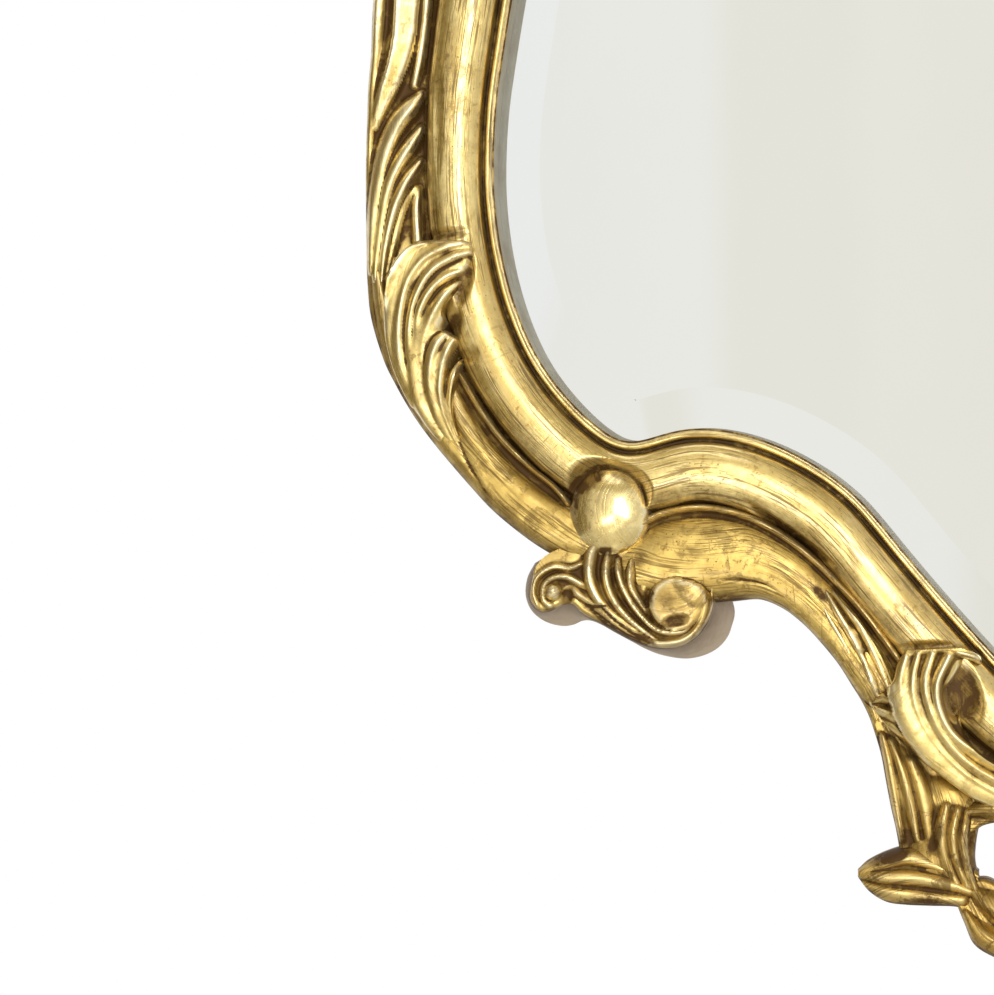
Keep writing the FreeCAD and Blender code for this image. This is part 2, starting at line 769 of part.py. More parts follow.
def export(nodes):
    os.makedirs("parts", exist_ok=True)
    for name, shape in nodes.items():
        if isinstance(shape, list):
            shape = Part.makeCompound(shape)
        elif shape.ShapeType != "Solid":
            shape = shape.Solids[0]
        shape.exportStep("parts/" + name + ".step")
    print(len(nodes), "pieces")


export(build())
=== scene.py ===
import math

import bmesh
import bpy
import numpy as np
from mathutils import Matrix, Vector


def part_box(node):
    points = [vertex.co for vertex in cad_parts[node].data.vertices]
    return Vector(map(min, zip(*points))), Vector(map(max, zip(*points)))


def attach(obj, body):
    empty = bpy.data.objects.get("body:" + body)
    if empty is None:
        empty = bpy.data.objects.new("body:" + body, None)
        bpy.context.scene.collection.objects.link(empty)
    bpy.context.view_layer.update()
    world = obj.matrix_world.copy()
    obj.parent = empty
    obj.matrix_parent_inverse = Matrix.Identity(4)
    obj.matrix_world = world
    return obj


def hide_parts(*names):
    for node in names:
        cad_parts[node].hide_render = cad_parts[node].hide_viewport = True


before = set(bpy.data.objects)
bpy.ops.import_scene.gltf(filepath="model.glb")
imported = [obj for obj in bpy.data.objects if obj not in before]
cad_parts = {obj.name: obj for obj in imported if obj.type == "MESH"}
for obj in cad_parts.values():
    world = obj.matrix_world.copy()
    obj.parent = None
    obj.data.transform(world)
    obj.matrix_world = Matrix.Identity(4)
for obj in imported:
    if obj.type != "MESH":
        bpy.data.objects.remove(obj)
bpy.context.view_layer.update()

# Sizes of the frame in metres, as in the part's source. The front faces -Y and the wall is y = 0.
MID_HEIGHT = -0.433
FRAME_BACK = -0.008
FRAME_FRONT = -0.030
REBATE_FLOOR = -0.0233
REBATE_WIDTH = 0.007
MEMBER_WIDTH = 0.0505
MEMBER_FLARE = 0.0015
GLASS_EDGE = 0.0067
GLASS_FRONT = -0.0223
GLASS_BACK = -0.0173
BEVEL_WIDTH = 0.025
BEVEL_DROP = 0.0016
MM = 0.001

# The photograph's frame, and where the camera stands
PHOTO_WIDTH_PX, PHOTO_HEIGHT_PX = 994.0, 995.0
FOCAL_PX = 3690.0
TRACED_DEPTH = -0.039
CAMERA_PLACE = np.array([-0.0327, TRACED_DEPTH - 1.549, -0.7977])
AIM_POINT = np.array([-0.2753, TRACED_DEPTH, -0.7336])
SENSOR_MM = 36.0
METRES_PER_PX = .00042


def unit(v):
    """The vector over its own length."""
    return v / np.linalg.norm(v)


LOOK = unit(AIM_POINT - CAMERA_PLACE)
RIGHT = unit(np.cross(LOOK, [0, 0, 1]))
ABOVE = np.cross(RIGHT, LOOK)


def traced(px, depth=TRACED_DEPTH):
    """World X and Z of traced picture places: where the camera's ray through each meets y = depth."""
    px = np.asarray(px, float)
    across = (px[..., 0:1] - PHOTO_WIDTH_PX / 2) / FOCAL_PX
    down = (px[..., 1:2] - PHOTO_HEIGHT_PX / 2) / FOCAL_PX
    ray = LOOK + RIGHT * across - ABOVE * down
    reach = (depth - CAMERA_PLACE[1]) / ray[..., 1:2]
    hit = CAMERA_PLACE + ray * reach
    return hit[..., [0, 2]]


def into_scene(name, data):
    """New object of the scene that shows the given data."""
    thing = bpy.data.objects.new(name, data)
    bpy.context.scene.collection.objects.link(thing)
    return thing


def camera():
    """The photograph's camera: straight lens, no shift, turned to the middle of the picture."""
    data = bpy.data.cameras.new("camera")
    data.sensor_fit = "HORIZONTAL"
    data.sensor_width = SENSOR_MM
    data.lens = SENSOR_MM * FOCAL_PX / PHOTO_WIDTH_PX
    data.clip_start = 0.05
    seat = into_scene("camera", data)
    seat.matrix_world = Matrix([
        [RIGHT[0], ABOVE[0], -LOOK[0], CAMERA_PLACE[0]],
        [RIGHT[1], ABOVE[1], -LOOK[1], CAMERA_PLACE[1]],
        [RIGHT[2], ABOVE[2], -LOOK[2], CAMERA_PLACE[2]],
        [0, 0, 0, 1]])
    bpy.context.scene.camera = seat


# Curves

def curve_through(stations, steps):
    """Smooth curve through all stations: each span from p1 to p2 is the cubic with the end slopes
    (p2 - p0) / 2 and (p3 - p1) / 2."""
    p = np.asarray(stations, float)
    p = np.vstack([2 * p[0] - p[1], p, 2 * p[-1] - p[-2]])
    t = np.linspace(0, len(p) - 3, steps)
    i = np.minimum(t.astype(int), len(p) - 4)
    f = (t - i)[:, None]
    p0, p1, p2, p3 = p[i], p[i + 1], p[i + 2], p[i + 3]
    return (p1 + .5 * f * (p2 - p0 + f * (2 * p0 - 5 * p1 + 4 * p2 - p3 + f * (3 * (p1 - p2) + p3 - p0))))


def evenly(points, count):
    """The same line with count points at equal steps of its length."""
    length = np.r_[0, np.cumsum(np.linalg.norm(np.diff(points, axis=0), axis=1))]
    at = np.linspace(0, length[-1], count)
    return np.stack([np.interp(at, length, points[:, k]) for k in range(points.shape[1])], axis=1)


def blurred(field, reach, axis, around=False):
    """Mean over 2 * reach + 1 neighbours along one axis, twice, which is close to a bell curve."""
    for _ in range(2):
        pad = [(0, 0)] * field.ndim
        pad[axis] = (reach + 1, reach)
        wide = np.pad(field, pad, mode="wrap" if around else "edge")
        total = np.cumsum(wide, axis=axis)
        size = field.shape[axis]
        high = np.take(total, range(2 * reach + 1, 2 * reach + 1 + size), axis=axis)
        low = np.take(total, range(0, size), axis=axis)
        field = (high - low) / (2 * reach + 1)
    return field


def blurred_sheet(field, reach):
    """That mean along the rows and along the columns."""
    return blurred(blurred(field, reach, 0), reach, 1)


# Sight edge, lower left quarter, from the bottom centre to mid height
SIGHT_PX = [
    (1155, 734), (1118, 731), (1080, 720), (1045, 701), (1015, 676), (985, 645), (950, 606),
    (913, 563), (885, 529), (862, 502), (836, 479), (805, 459), (770, 442), (735, 431), (700, 427),
    (670, 431), (648, 438), (628, 441), (608, 435), (588, 420), (568, 400), (549, 377), (530, 346),
    (512, 301), (499, 248), (492.5, 195), (492, 150), (495, 100), (502, 50), (510, 0), (520, -55),
    (531, -110), (540, -165), (545, -218),
]
# Breadth of the moulding along the same stations, as shares of its usual breadth
BREADTH_SHARES = [
    1.0, 1.0, 1.0, 1.0, 1.0, .98, .97,
    .97, .97, .98, 1.0, 1.02, 1.04, 1.04, 1.04,
    1.03, 1.02, 1.0, .98, .98, .98, .98, .98,
    .98, .96, .95, .95, .98, 1.01, 1.04, 1.06,
    1.08, 1.09, 1.1,
]
LOOP_POINTS = 2400
# The frame's mitres cross the sight edge here
MITRE_PX = (575, 407)


def sight_loop():
    """Closed sight edge: the traced quarter and its three mirror images, made even and lightly smoothed.
    Returns points, outward directions, distance along and breadth share, starting at the bottom centre."""
    quarter = traced(SIGHT_PX)
    quarter[0, 0] = 0
    quarter[-1, 1] = MID_HEIGHT
    share = np.array(BREADTH_SHARES)
    upper = np.stack([quarter[:, 0], 2 * MID_HEIGHT - quarter[:, 1]], axis=1)
    left = np.vstack([quarter, upper[-2::-1]])
    left_share = np.r_[share, share[-2::-1]]
    loop = np.vstack([left, (left * [-1, 1])[-2:0:-1]])
    loop_share = np.r_[left_share, left_share[-2:0:-1]]
    table = np.column_stack([loop, loop_share])
    table = np.vstack([table[-3:], table, table[:4]])
    steps = 40
    fine = curve_through(table, steps * len(table))
    first = steps * len(table) * 3 // (len(table) - 1)
    start = first + np.argmin(np.abs(fine[first - steps:first + steps, 0])) - steps
    closing = len(fine) - 1 - np.argmin(np.abs(fine[::-1][:4 * steps, 0]))
    fine = evenly(fine[start:closing + 1], LOOP_POINTS + 1)[:-1]
    fine = blurred(fine, 6, 0, around=True)
    along = np.roll(fine[:, :2], -1, axis=0) - np.roll(fine[:, :2], 1, axis=0)
    along /= np.linalg.norm(along, axis=1)[:, None]
    outward = np.stack([along[:, 1], -along[:, 0]], axis=1)
    middle = np.array([0, MID_HEIGHT])
    if np.sum((fine[:, :2] - middle) * outward) < 0:
        outward = -outward
    step = np.linalg.norm(np.roll(fine[:, :2], -1, axis=0) - fine[:, :2], axis=1)
    return fine[:, :2], outward, np.cumsum(step) - step[0], fine[:, 2]


LOOP, OUTWARD, ALONG, BREADTH = sight_loop()


def loop_index(px):
    """Index of the loop point nearest to a traced place."""
    return int(np.argmin(np.linalg.norm(LOOP - traced(px), axis=1)))


# Meshes

SHARP_EDGE_DEG = 58


def closed(name, vertices, faces, layers, material):
    """Piece from vertex and face tables, its normals turned outwards and its point layers stored."""
    mesh = bpy.data.meshes.new(name)
    mesh.from_pydata(vertices.tolist(), [], faces)
    for layer, values in layers.items():
        if values.ndim == 1:
            mesh.attributes.new(layer, "FLOAT", "POINT").data.foreach_set("value", values)
        else:
            mesh.attributes.new(layer, "FLOAT_VECTOR", "POINT").data.foreach_set(
                "vector", values.astype(float).ravel())
    tidy = bmesh.new()
    tidy.from_mesh(mesh)
    bmesh.ops.recalc_face_normals(tidy, faces=tidy.faces)
    tidy.to_mesh(mesh)
    tidy.free()
    mesh.shade_smooth()
    mesh.set_sharp_from_angle(angle=math.radians(SHARP_EDGE_DEG))
    mesh.materials.append(material)
    piece = into_scene(name, mesh)
    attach(piece, "frame")
    return piece


def grid_faces(rows, columns, around_rows=False, around_columns=False):
    """Four-sided faces of a grid, closed along rows or columns where asked."""
    r = np.arange(rows if around_rows else rows - 1)
    c = np.arange(columns if around_columns else columns - 1)
    i, j = np.meshgrid(r, c, indexing="ij")
    i2, j2 = (i + 1) % rows, (j + 1) % columns
    quads = np.stack([i * columns + j, i * columns + j2, i2 * columns + j2, i2 * columns + j], axis=-1)
    return quads.reshape(-1, 4).tolist()


def end_faces(rows, columns):
    """Many-sided faces on the first and on the last row of a grid."""
    return [list(range(columns)), list(range((rows - 1) * columns, rows * columns))]


def tube_faces(rows, columns):
    """Faces of a grid whose rows are rings, with both its ends filled."""
    return grid_faces(rows, columns, around_columns=True) + end_faces(rows, columns)


def slab_faces(rows, columns):
    """Faces of a grid whose rows are each closed behind by one long face, with both its ends filled."""
    first = np.arange(rows - 1) * columns
    behind = np.stack([first, first + columns - 1, first + 2 * columns - 1, first + columns], axis=1)
    return grid_faces(rows, columns) + behind.tolist() + end_faces(rows, columns)


def at_corner(vertices, across, upward):
    """Vertices of the lower left corner as they lie at another corner: across and upward are -1 where the
    piece is turned over left to right or bottom to top."""
    placed = vertices.copy()
    placed[:, 0] *= across
    if upward < 0:
        placed[:, 2] = 2 * MID_HEIGHT - placed[:, 2]
    return placed


def oval_radius(x, y, reach, angle):
    """Squared radius in an oval of the given reaches, turned by angle degrees: 1 is its rim."""
    a = math.radians(angle)
    u = (x * math.cos(a) + y * math.sin(a)) / reach[0]
    v = (-x * math.sin(a) + y * math.cos(a)) / reach[1]
    return u * u + v * v


BALL_PX = (607, 504)
BALL_RADIUS_PX = 38.0
GROOVE_RADIUS_PX = 50.0
# Rise of the sunk ring's floor over the member's front at the ball, and what it gains to the ring's edge,
# and the depth of a full hollow, in millimetres
RING_FLOOR, RING_GAIN = 7, 8.2
HOLLOW_DEPTH = 5

# Hollows that the carver cut in the band beside the leaves, darkened with painted shade, some of them
# thin painted shadows cast by the leaves' tops on the band: centre, reaches, angle and depth share
BAND_HOLLOWS = [
    ((962, 690), (20, 38), -18, .85), ((466, 280), (10, 30), 12, .6), ((456, 325), (9, 19), 10, .6),
    ((468, 356), (14, 8), -20, .45), ((440, 120), (6, 60), 0, .2), ((930, 647), (40, 6), -2, .5),
    ((432, 237), (42, 7), -6, .55), ((790, 534), (60, 7), 36, .8),
]


def hollow_round_balls(vertices):
    """Moulding with a sunk ring round each corner ball: within the groove's radius the rise is at most
    floor + gain * share**1.2 millimetres, where share goes from 0 at the ball to 1 at the ring's edge.
    Beside the leaves each hollow lowers the band by its depth times 1 - r**2. The darkness returned is
    painted shade: it falls from 1 at the ball to .3 at the ring's edge, and follows 1 - r**2 in the
    hollows."""
    centre = traced(BALL_PX)
    scale = np.linalg.norm(traced((BALL_PX[0] + 100, BALL_PX[1])) - centre) / 100
    x = -np.abs(vertices[:, 0])
    z = MID_HEIGHT - np.abs(vertices[:, 2] - MID_HEIGHT)
    r = np.hypot(x - centre[0], z - centre[1]) / scale
    share = np.clip((r - BALL_RADIUS_PX + 3) / (GROOVE_RADIUS_PX - BALL_RADIUS_PX + 3), 0, 1)
    limit = FRAME_FRONT - (RING_FLOOR + RING_GAIN * share ** 1.2) * MM
    sunk = (r < GROOVE_RADIUS_PX) & (vertices[:, 1] < limit)
    lowered = vertices.copy()
    lowered[sunk, 1] = limit[sunk]
    # Painted shade in the sunk ring round each ball and in the hollows beside the leaves
    shaded = np.where(sunk, np.clip(1.35 - 2.6 * share, .3, 1), 0)
    for middle, reach, angle, depth in BAND_HOLLOWS:
        spot = traced(middle)
        across, down = (x - spot[0]) / scale, -(z - spot[1]) / scale
        share = np.clip(1 - oval_radius(across, down, reach, angle), 0, 1)
        high = lowered[:, 1] < FRAME_FRONT - 6 * MM
        lowered[high, 1] += HOLLOW_DEPTH * depth * share[high] * MM
        shaded = np.maximum(shaded, np.clip(1.6 * depth * share, 0, depth))
    return lowered, shaded


def swept(name, profile, first, last, material, layers=None, breadth=True):
    """Closed section carried along the sight loop: point = loop + outward * offset * breadth, at depth.
    profile holds rows of offset and depth in metres; first and last are loop indices, all round if None."""
    if first is None:
        index = np.arange(LOOP_POINTS)
    else:
        index = np.arange(first, last + 1) % LOOP_POINTS
    profile = np.asarray(profile, float)
    scale = (BREADTH[index] if breadth else np.ones(len(index)))[:, None]
    offset = profile[None, :, 0] * scale
    flat = LOOP[index][:, None] + OUTWARD[index][:, None] * offset[..., None]
    depth = np.broadcast_to(profile[:, 1], offset.shape)
    vertices = np.stack([flat[..., 0], depth, flat[..., 1]], axis=-1).reshape(-1, 3)
    rows, columns = offset.shape
    if first is None:
        faces = grid_faces(rows, columns, around_rows=True, around_columns=True)
    else:
        faces = tube_faces(rows, columns)
    flow = np.stack([np.broadcast_to(ALONG[index][:, None], offset.shape), offset,
                     np.zeros_like(offset)], axis=-1).reshape(-1, 3)
    stored = {"flow": flow}
    for layer, values in (layers or {}).items():
        stored[layer] = np.broadcast_to(values, offset.shape).reshape(-1).astype(float)
    if "recess" in stored:
        vertices, shaded = hollow_round_balls(vertices)
        stored["recess"] = np.maximum(stored["recess"], shaded)
    return closed(name, vertices, faces, stored, material)


def half_round(start, width, foot, rise, steps, fullness):
    """Half oval from start to start + width: offset goes with the cosine, rise with the sine's power."""
    a = np.linspace(0, math.pi, steps)
    offset = start + width * (1 - np.cos(a)) / 2
    return np.stack([offset, foot + (rise - foot) * np.sin(a) ** fullness], axis=1)


def moulding_profile():
    """Section of the burnished moulding in millimetres of offset and rise over the member's front, how
    dark each point's gilding is toned, from 0 to 1, and which points are painted and not gilded. The
    darkness is brown toning with painted shade in the groove and the cove, painted shade on the band's
    outer half, and a thin painted shadow line at the lip's inner foot."""
    lip = half_round(.9, 3.1, 4.2, 7.2, 14, .8)
    band = half_round(5.6, 24.7, 4.5, 15.2, 60, .92)
    cove = np.array([(30.6, 3.6), (31.6, 2.9), (33.5, 2.6), (36.5, 2.8), (38.5, 3.0)])
    groove = np.array([(4.3, 2.8), (5.2, 2.8)])
    rows = [(-.1, -8.8), (-.1, -3.0), (-.1, 3.3), (0, 3.8), (.7, 4.2)]
    under = [(38.5, -.5), (20, -.5), (7, -6.6), (.35, -6.6), (.35, -8.8)]
    section = np.vstack([rows, lip, groove, band, cove, under])
    recess = np.zeros(len(section))
    offset = section[:, 0]
    # Painted shade: the groove by the lip, the cove and the band's outer half are toned darker
    recess += np.exp(-((offset - 4.75) / .9) ** 2)
    recess += .9 * np.clip((offset - 29.2) / 1.4, 0, 1) - .35 * np.clip((offset - 31.5) / 3, 0, 1)
    recess += .38 * np.clip((offset - 17) / 8, 0, 1)
    sides = np.zeros(len(section))
    sides[:3] = sides[-5:] = 1
    # Painted shadow: a thin dark line along the lip's inner foot
    recess[3:5] = .6
    return section, np.clip(recess, 0, 1), sides


def mouldings(material):
    """The four members and the lengths of moulding on them, mitred at the corners. On the members the
    layer raw is 1 at the back, which is bare wood."""
    section, recess, sides = moulding_profile()
    profile = np.stack([section[:, 0] * MM, FRAME_FRONT - section[:, 1] * MM], axis=1)
    corner = loop_index(MITRE_PX)
    half = LOOP_POINTS // 2
    ends = {
        "bottom_rail": (LOOP_POINTS - corner, LOOP_POINTS + corner),
        "left_stile": (corner, half - corner),
        "top_rail": (half - corner, half + corner),
        "right_stile": (half + corner, LOOP_POINTS - corner),
    }
    wood = member_profile()
    raw = [float(depth == FRAME_BACK) for _, depth in wood]
    for name, (first, last) in ends.items():
        band = swept(name + "_band_gilt", profile, first, last, material["band"],
                     {"recess": recess, "wall": sides})
        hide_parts(name + "_band")
        member = swept(name + "_wood", wood, first, last, material["wall"], {"raw": raw}, breadth=False)
        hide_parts(name)


def board(material):
    """Backing board inside the rebate, as thick and as deep as the part's own: a closed rim and two
    many-sided faces."""
    low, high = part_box("backing_board")
    line = (LOOP + OUTWARD * GLASS_EDGE)[::4]
    vertices = np.vstack([np.insert(line, 1, low[1], axis=1), np.insert(line, 1, high[1], axis=1)])
    piece = closed("board", vertices, tube_faces(2, len(line)), {}, material)
    piece.data.shade_flat()
    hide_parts("backing_board")


def bedding(material):
    """Felt in the rebate, between the rebate's floor and the glass's sloping edge."""
    free = .0001
    near, far = .0017, GLASS_EDGE - free
    section = [(near, REBATE_FLOOR), (far, REBATE_FLOOR), (far, GLASS_FRONT + BEVEL_DROP - free),
               (near, GLASS_FRONT + BEVEL_DROP * .8 - free)]
    strip = swept("bedding", section, None, None, material, breadth=False)
    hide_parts("bedding_strip")


def member_profile():
    """Section of a frame member in metres: sight wall, rebate, back, flared side with small rounds."""
    wide, back = MEMBER_WIDTH, MEMBER_WIDTH + MEMBER_FLARE
    return [
        (.0003, FRAME_FRONT), (.0003, REBATE_FLOOR - .0002), (REBATE_WIDTH, REBATE_FLOOR),
        (REBATE_WIDTH, FRAME_BACK), (REBATE_WIDTH + .001, FRAME_BACK), (back - .0015, FRAME_BACK),
        (back - .0004, FRAME_BACK - .0006), (back, FRAME_BACK - .002), (wide + .0008, FRAME_FRONT + .003),
        (wide, FRAME_FRONT + .001), (wide - .001, FRAME_FRONT), (wide - .002, FRAME_FRONT - .0002),
        (.02, FRAME_FRONT - .0002),
    ]


def reach_inwards(line, inward, wanted):
    """How far each point of a closed line can move inwards, up to wanted, before another point of the
    line is as near as its own: the least of |v|**2 / (2 * inward . v) over the vectors v to the others."""
    v = line[None] - line[:, None]
    ahead = v[..., 0] * inward[:, None, 0] + v[..., 1] * inward[:, None, 1]
    facing = ahead > 1e-6
    touching = np.sum(v ** 2, axis=2) / np.where(facing, 2 * ahead, 1)
    return np.minimum(wanted, np.where(facing, touching, wanted).min(axis=1))


def mirror_plate(material):
    """Mirror plate: rim, sloping bevel and flat field. The bevel's inner edge lies parallel to the sight
    edge, and where the edge turns in sharply the two bevels meet in a mitre."""
    index = np.arange(0, LOOP_POINTS, 3)
    line, outward = LOOP[index], OUTWARD[index]
    edge = line + outward * GLASS_EDGE
    reach = reach_inwards(line, -outward, BEVEL_WIDTH - GLASS_EDGE)
    full = reach > (BEVEL_WIDTH - GLASS_EDGE) * .999
    inner = line - outward * reach[:, None]
    slope = (reach + GLASS_EDGE) / BEVEL_WIDTH
    ledge = GLASS_FRONT + BEVEL_DROP
    rows = [np.insert(edge, 1, GLASS_BACK, axis=1), np.insert(edge, 1, ledge, axis=1),
            np.column_stack([inner[:, 0], ledge - BEVEL_DROP * slope, inner[:, 1]])]
    count = len(index)
    faces = grid_faces(3, count, around_columns=True)
    faces += [list(range(count)), (np.flatnonzero(full) + 2 * count).tolist()]
    backing = np.repeat([1.0, 0.0, 0.0], count)
    piece = closed("mirror_plate", np.vstack(rows), faces, {"backing": backing}, material)
    bevel = np.zeros(len(faces), bool)
    bevel[count:2 * count] = True
    piece.data.polygons.foreach_set("use_smooth", bevel)
    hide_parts("mirror_glass")


# Carving. A carved piece is a ruled sheet between two traced edges with its strands standing out.

def webbed(strand, wider, lower):
    """The low broad fold under a strand: the same line, wider and lower."""
    stations, lean, _ = strand
    return tuple((x, y, half * wider, high * lower) for x, y, half, high in stations), lean * .5, 2.0


def along_strand(places, stations):
    """Where each place lies by a strand: which places are near, q from -1 at its left edge to 1 at its
    right, the rise of its crest there and how far past its ends, as a share of the half width."""
    line = curve_through(np.asarray(stations, float), 30 * len(stations))
    centre, half, top = line[:, :2], line[:, 2], line[:, 3]
    along = np.gradient(centre, axis=0)
    along /= np.linalg.norm(along, axis=1)[:, None]
    flat = places.reshape(-1, 2)
    low, high = centre.min(0) - half.max() * 1.5, centre.max(0) + half.max() * 1.5
    near = np.all((flat > low) & (flat < high), axis=1)
    some = flat[near]
    nearest = np.zeros(len(some), int)
    batch = 20000
    for start in range(0, len(some), batch):
        block = some[start:start + batch]
        gap = (block[:, None, 0] - centre[None, :, 0]) ** 2 + (block[:, None, 1] - centre[None, :, 1]) ** 2
        nearest[start:start + batch] = gap.argmin(axis=1)
    away = some - centre[nearest]
    t = along[nearest]
    side = away[:, 0] * t[:, 1] - away[:, 1] * t[:, 0]
    past = np.abs(away[:, 0] * t[:, 0] + away[:, 1] * t[:, 1])
    ends = (nearest == 0) | (nearest == len(centre) - 1)
    return near, side / half[nearest], top[nearest], np.where(ends, past / half[nearest], 0)


NOWHERE = -99.0


def strand_rise(places, strand, root=.35):
    """Rise of one strand over every place, in millimetres, and far below all else beside it.
    Rise = foot + (top - foot) * (1 - |q|**power), where q is the distance from the crest over the half
    width, measured from a crest that leans to one side."""
    stations, lean, power = strand
    near, q, top, beyond = along_strand(places, stations)
    q = np.where(q > lean, (q - lean) / (1 - lean), (lean - q) / (1 + lean))
    q = np.hypot(q, beyond)
    foot = top * root
    rise = np.full(near.shape, NOWHERE)
    rise[near] = np.where(q < 1, foot + (top - foot) * (1 - q ** power), NOWHERE)
    return rise.reshape(places.shape[:2])


def facet(stations, drop):
    """Flat cut along a strand: its rise falls evenly by drop from its left edge to its right one, and the
    last fifth at each edge is rounded off."""
    def shape(places, rise):
        near, q, top, beyond = along_strand(places, stations)
        q = np.where(beyond > 0, np.hypot(q, beyond), q)
        level = top - drop * (q + 1) / 2 - 9 * np.clip(np.abs(q) - .78, 0, 1) ** 1.5
        made = np.full(near.shape, NOWHERE)
        made[near] = np.where(np.abs(q) < 1, level, NOWHERE)
        return np.maximum(rise, made.reshape(places.shape[:2]))
    return shape


def eased(distance, radius):
    """Quarter round at an edge: 0 at the edge, 1 from radius inwards."""
    t = np.clip(distance / radius, 0, 1)
    return np.sqrt(1 - (1 - t) ** 2)


def sheet_between(stations_px, step):
    """Places of a ruled sheet: for each station pair the straight line from its left to its right place.
    The rows lie evenly by the way that the middle goes and .3 of the way that the line turns. Beside them,
    how far each place is from the sheet's four edges, in pixels."""
    table = np.array([left + right for left, right in stations_px], float)
    fine = curve_through(table, 60 * len(table))
    middle = (fine[:, :2] + fine[:, 2:]) / 2
    turn = fine[:, 2:] - fine[:, :2]
    travel = np.linalg.norm(np.diff(middle, axis=0), axis=1)
    travel += .3 * np.linalg.norm(np.diff(turn, axis=0), axis=1)
    length = np.r_[0, np.cumsum(travel)]
    rows = max(8, int(length[-1] / step))
    at = np.linspace(0, length[-1], rows)
    fine = np.stack([np.interp(at, length, fine[:, k]) for k in range(4)], axis=1)
    width = np.linalg.norm(fine[:, 2:] - fine[:, :2], axis=1)
    columns = max(6, int(width.max() / step))
    v = np.linspace(0, 1, columns)[None, :, None]
    places = fine[:, None, :2] * (1 - v) + fine[:, None, 2:] * v
    edges = {
        "left": width[:, None] * v[..., 0],
        "right": width[:, None] * (1 - v[..., 0]),
        "start": np.repeat(at[:, None], columns, axis=1),
        "end": np.repeat((length[-1] - at)[:, None], columns, axis=1),
    }
    return places, edges


def hand_work(places):
    """Unevenness of the carver's hand in millimetres: the sum of three slow waves, .15 high, and a crossed
    pair of shorter ones, .045 high."""
    x, y = places[..., 0], places[..., 1]
    slow = np.sin(x * .085 + y * .05) + np.sin(y * .11 - x * .06 + 1.3) + np.sin((x + y) * .14 + 2.1)
    crossed = np.sin(x * .29 + 1.6 * np.sin(y * .13)) * np.sin(y * .25 + 1.3 * np.sin(x * .11))
    return .05 * slow + .045 * crossed


def mound(centre, reach, foot, top, angle=0.0, power=.5):
    """Oval swelling: foot + (top - foot) * (1 - r**2)**power inside the oval of the given reaches."""
    def shape(places, rise):
        r = oval_radius(places[..., 0] - centre[0], places[..., 1] - centre[1], reach, angle)
        return np.where(r < 1, np.maximum(rise, foot + (top - foot) * np.clip(1 - r, 0, 1) ** power), rise)
    return shape


def hollow(centre, reach, depth, angle=0.0):
    """Oval hollow: the rise less depth * (1 - r**2)."""
    def shape(places, rise):
        r = oval_radius(places[..., 0] - centre[0], places[..., 1] - centre[1], reach, angle)
        return rise - depth * np.clip(1 - r, 0, 1)
    return shape


# How far under or over its surroundings a place lies, in millimetres, where a mask begins and is full
RECESS_FROM, RECESS_SPAN, CREST_SPAN = .07, .95, 1.4


def carve(places, edges, recipe):
    """Rise of a carved sheet in millimetres and two masks: the greatest strand or ground, less the cut
    lines, eased down at the edges that show; recess and crest are how far a place lies under or over the
    mean of its surroundings. The recess also takes painted shade: amount * (1 - r**2) inside the oval of
    each of the stains, the darkness of each cut line, and more towards each rounded edge."""
    ground = recipe["ground"]
    if isinstance(ground, tuple):
        share = edges["start"] / (edges["start"] + edges["end"])
        ground = np.interp(share, np.linspace(0, 1, len(ground)), ground)
    rise = np.zeros(places.shape[:2]) + ground
    wider, flatter = recipe.get("fuller", (1.0, 0.0))
    for strand in recipe["strands"]:
        stations, lean, power = strand
        full = tuple((x, y, half * wider, high) for x, y, half, high in stations), lean, power + flatter
        rise = np.maximum(rise, strand_rise(places, full, recipe.get("root", .35)))
        if "web" in recipe:
            rise = np.maximum(rise, strand_rise(places, webbed(strand, *recipe["web"])))
    for shape in recipe.get("shapes", []):
        rise = shape(places, rise)
    wide = blurred_sheet(rise, 4)
    # The recess is toned brown in the gilding: partly an old finish, partly painted shade
    recess = np.clip((wide - rise) / RECESS_SPAN - RECESS_FROM, 0, 1)
    crest = np.clip((rise - wide) / CREST_SPAN, 0, 1)
    # Each cut line sinks the rise and is painted dark inside, as painted shade
    for strand, dark in recipe.get("lines", []):
        mark = strand_rise(places, strand)
        cut = np.clip(mark, 0, None)
        rise = rise - cut
        recess = np.maximum(recess, np.where(mark > 0, dark * np.clip(cut / .8, 0, 1), 0))
    # Each of the stains is a patch of painted shade added to the recess
    for centre, reach, angle, amount in recipe.get("shade_patches", []):
        shade_patch = mound(centre, reach, 0, amount, angle, 1.0)
        recess = np.maximum(recess, shade_patch(places, np.zeros_like(rise)))
    rise = blurred_sheet(rise, 1)
    easing = np.ones_like(rise)
    for edge, radius in recipe["rounded"].items():
        easing = np.minimum(easing, eased(edges[edge], radius))
    low = recipe.get("edge_rise", 0.0)
    rise = low + (rise - low) * easing
    # Painted shade on the rounded edges, darker towards the brink
    recess = np.maximum(recess, .75 * (1 - easing) ** .7)
    return rise + hand_work(places), recess, crest


STEP_PX = 1.35
# Each next corner's pieces end this much further in front, so that no two backs lie in one plane, and have
# their grain shifted by this many metres of flow
BACK_STAGGER = .12 * MM
GRAIN_SHIFT = .9


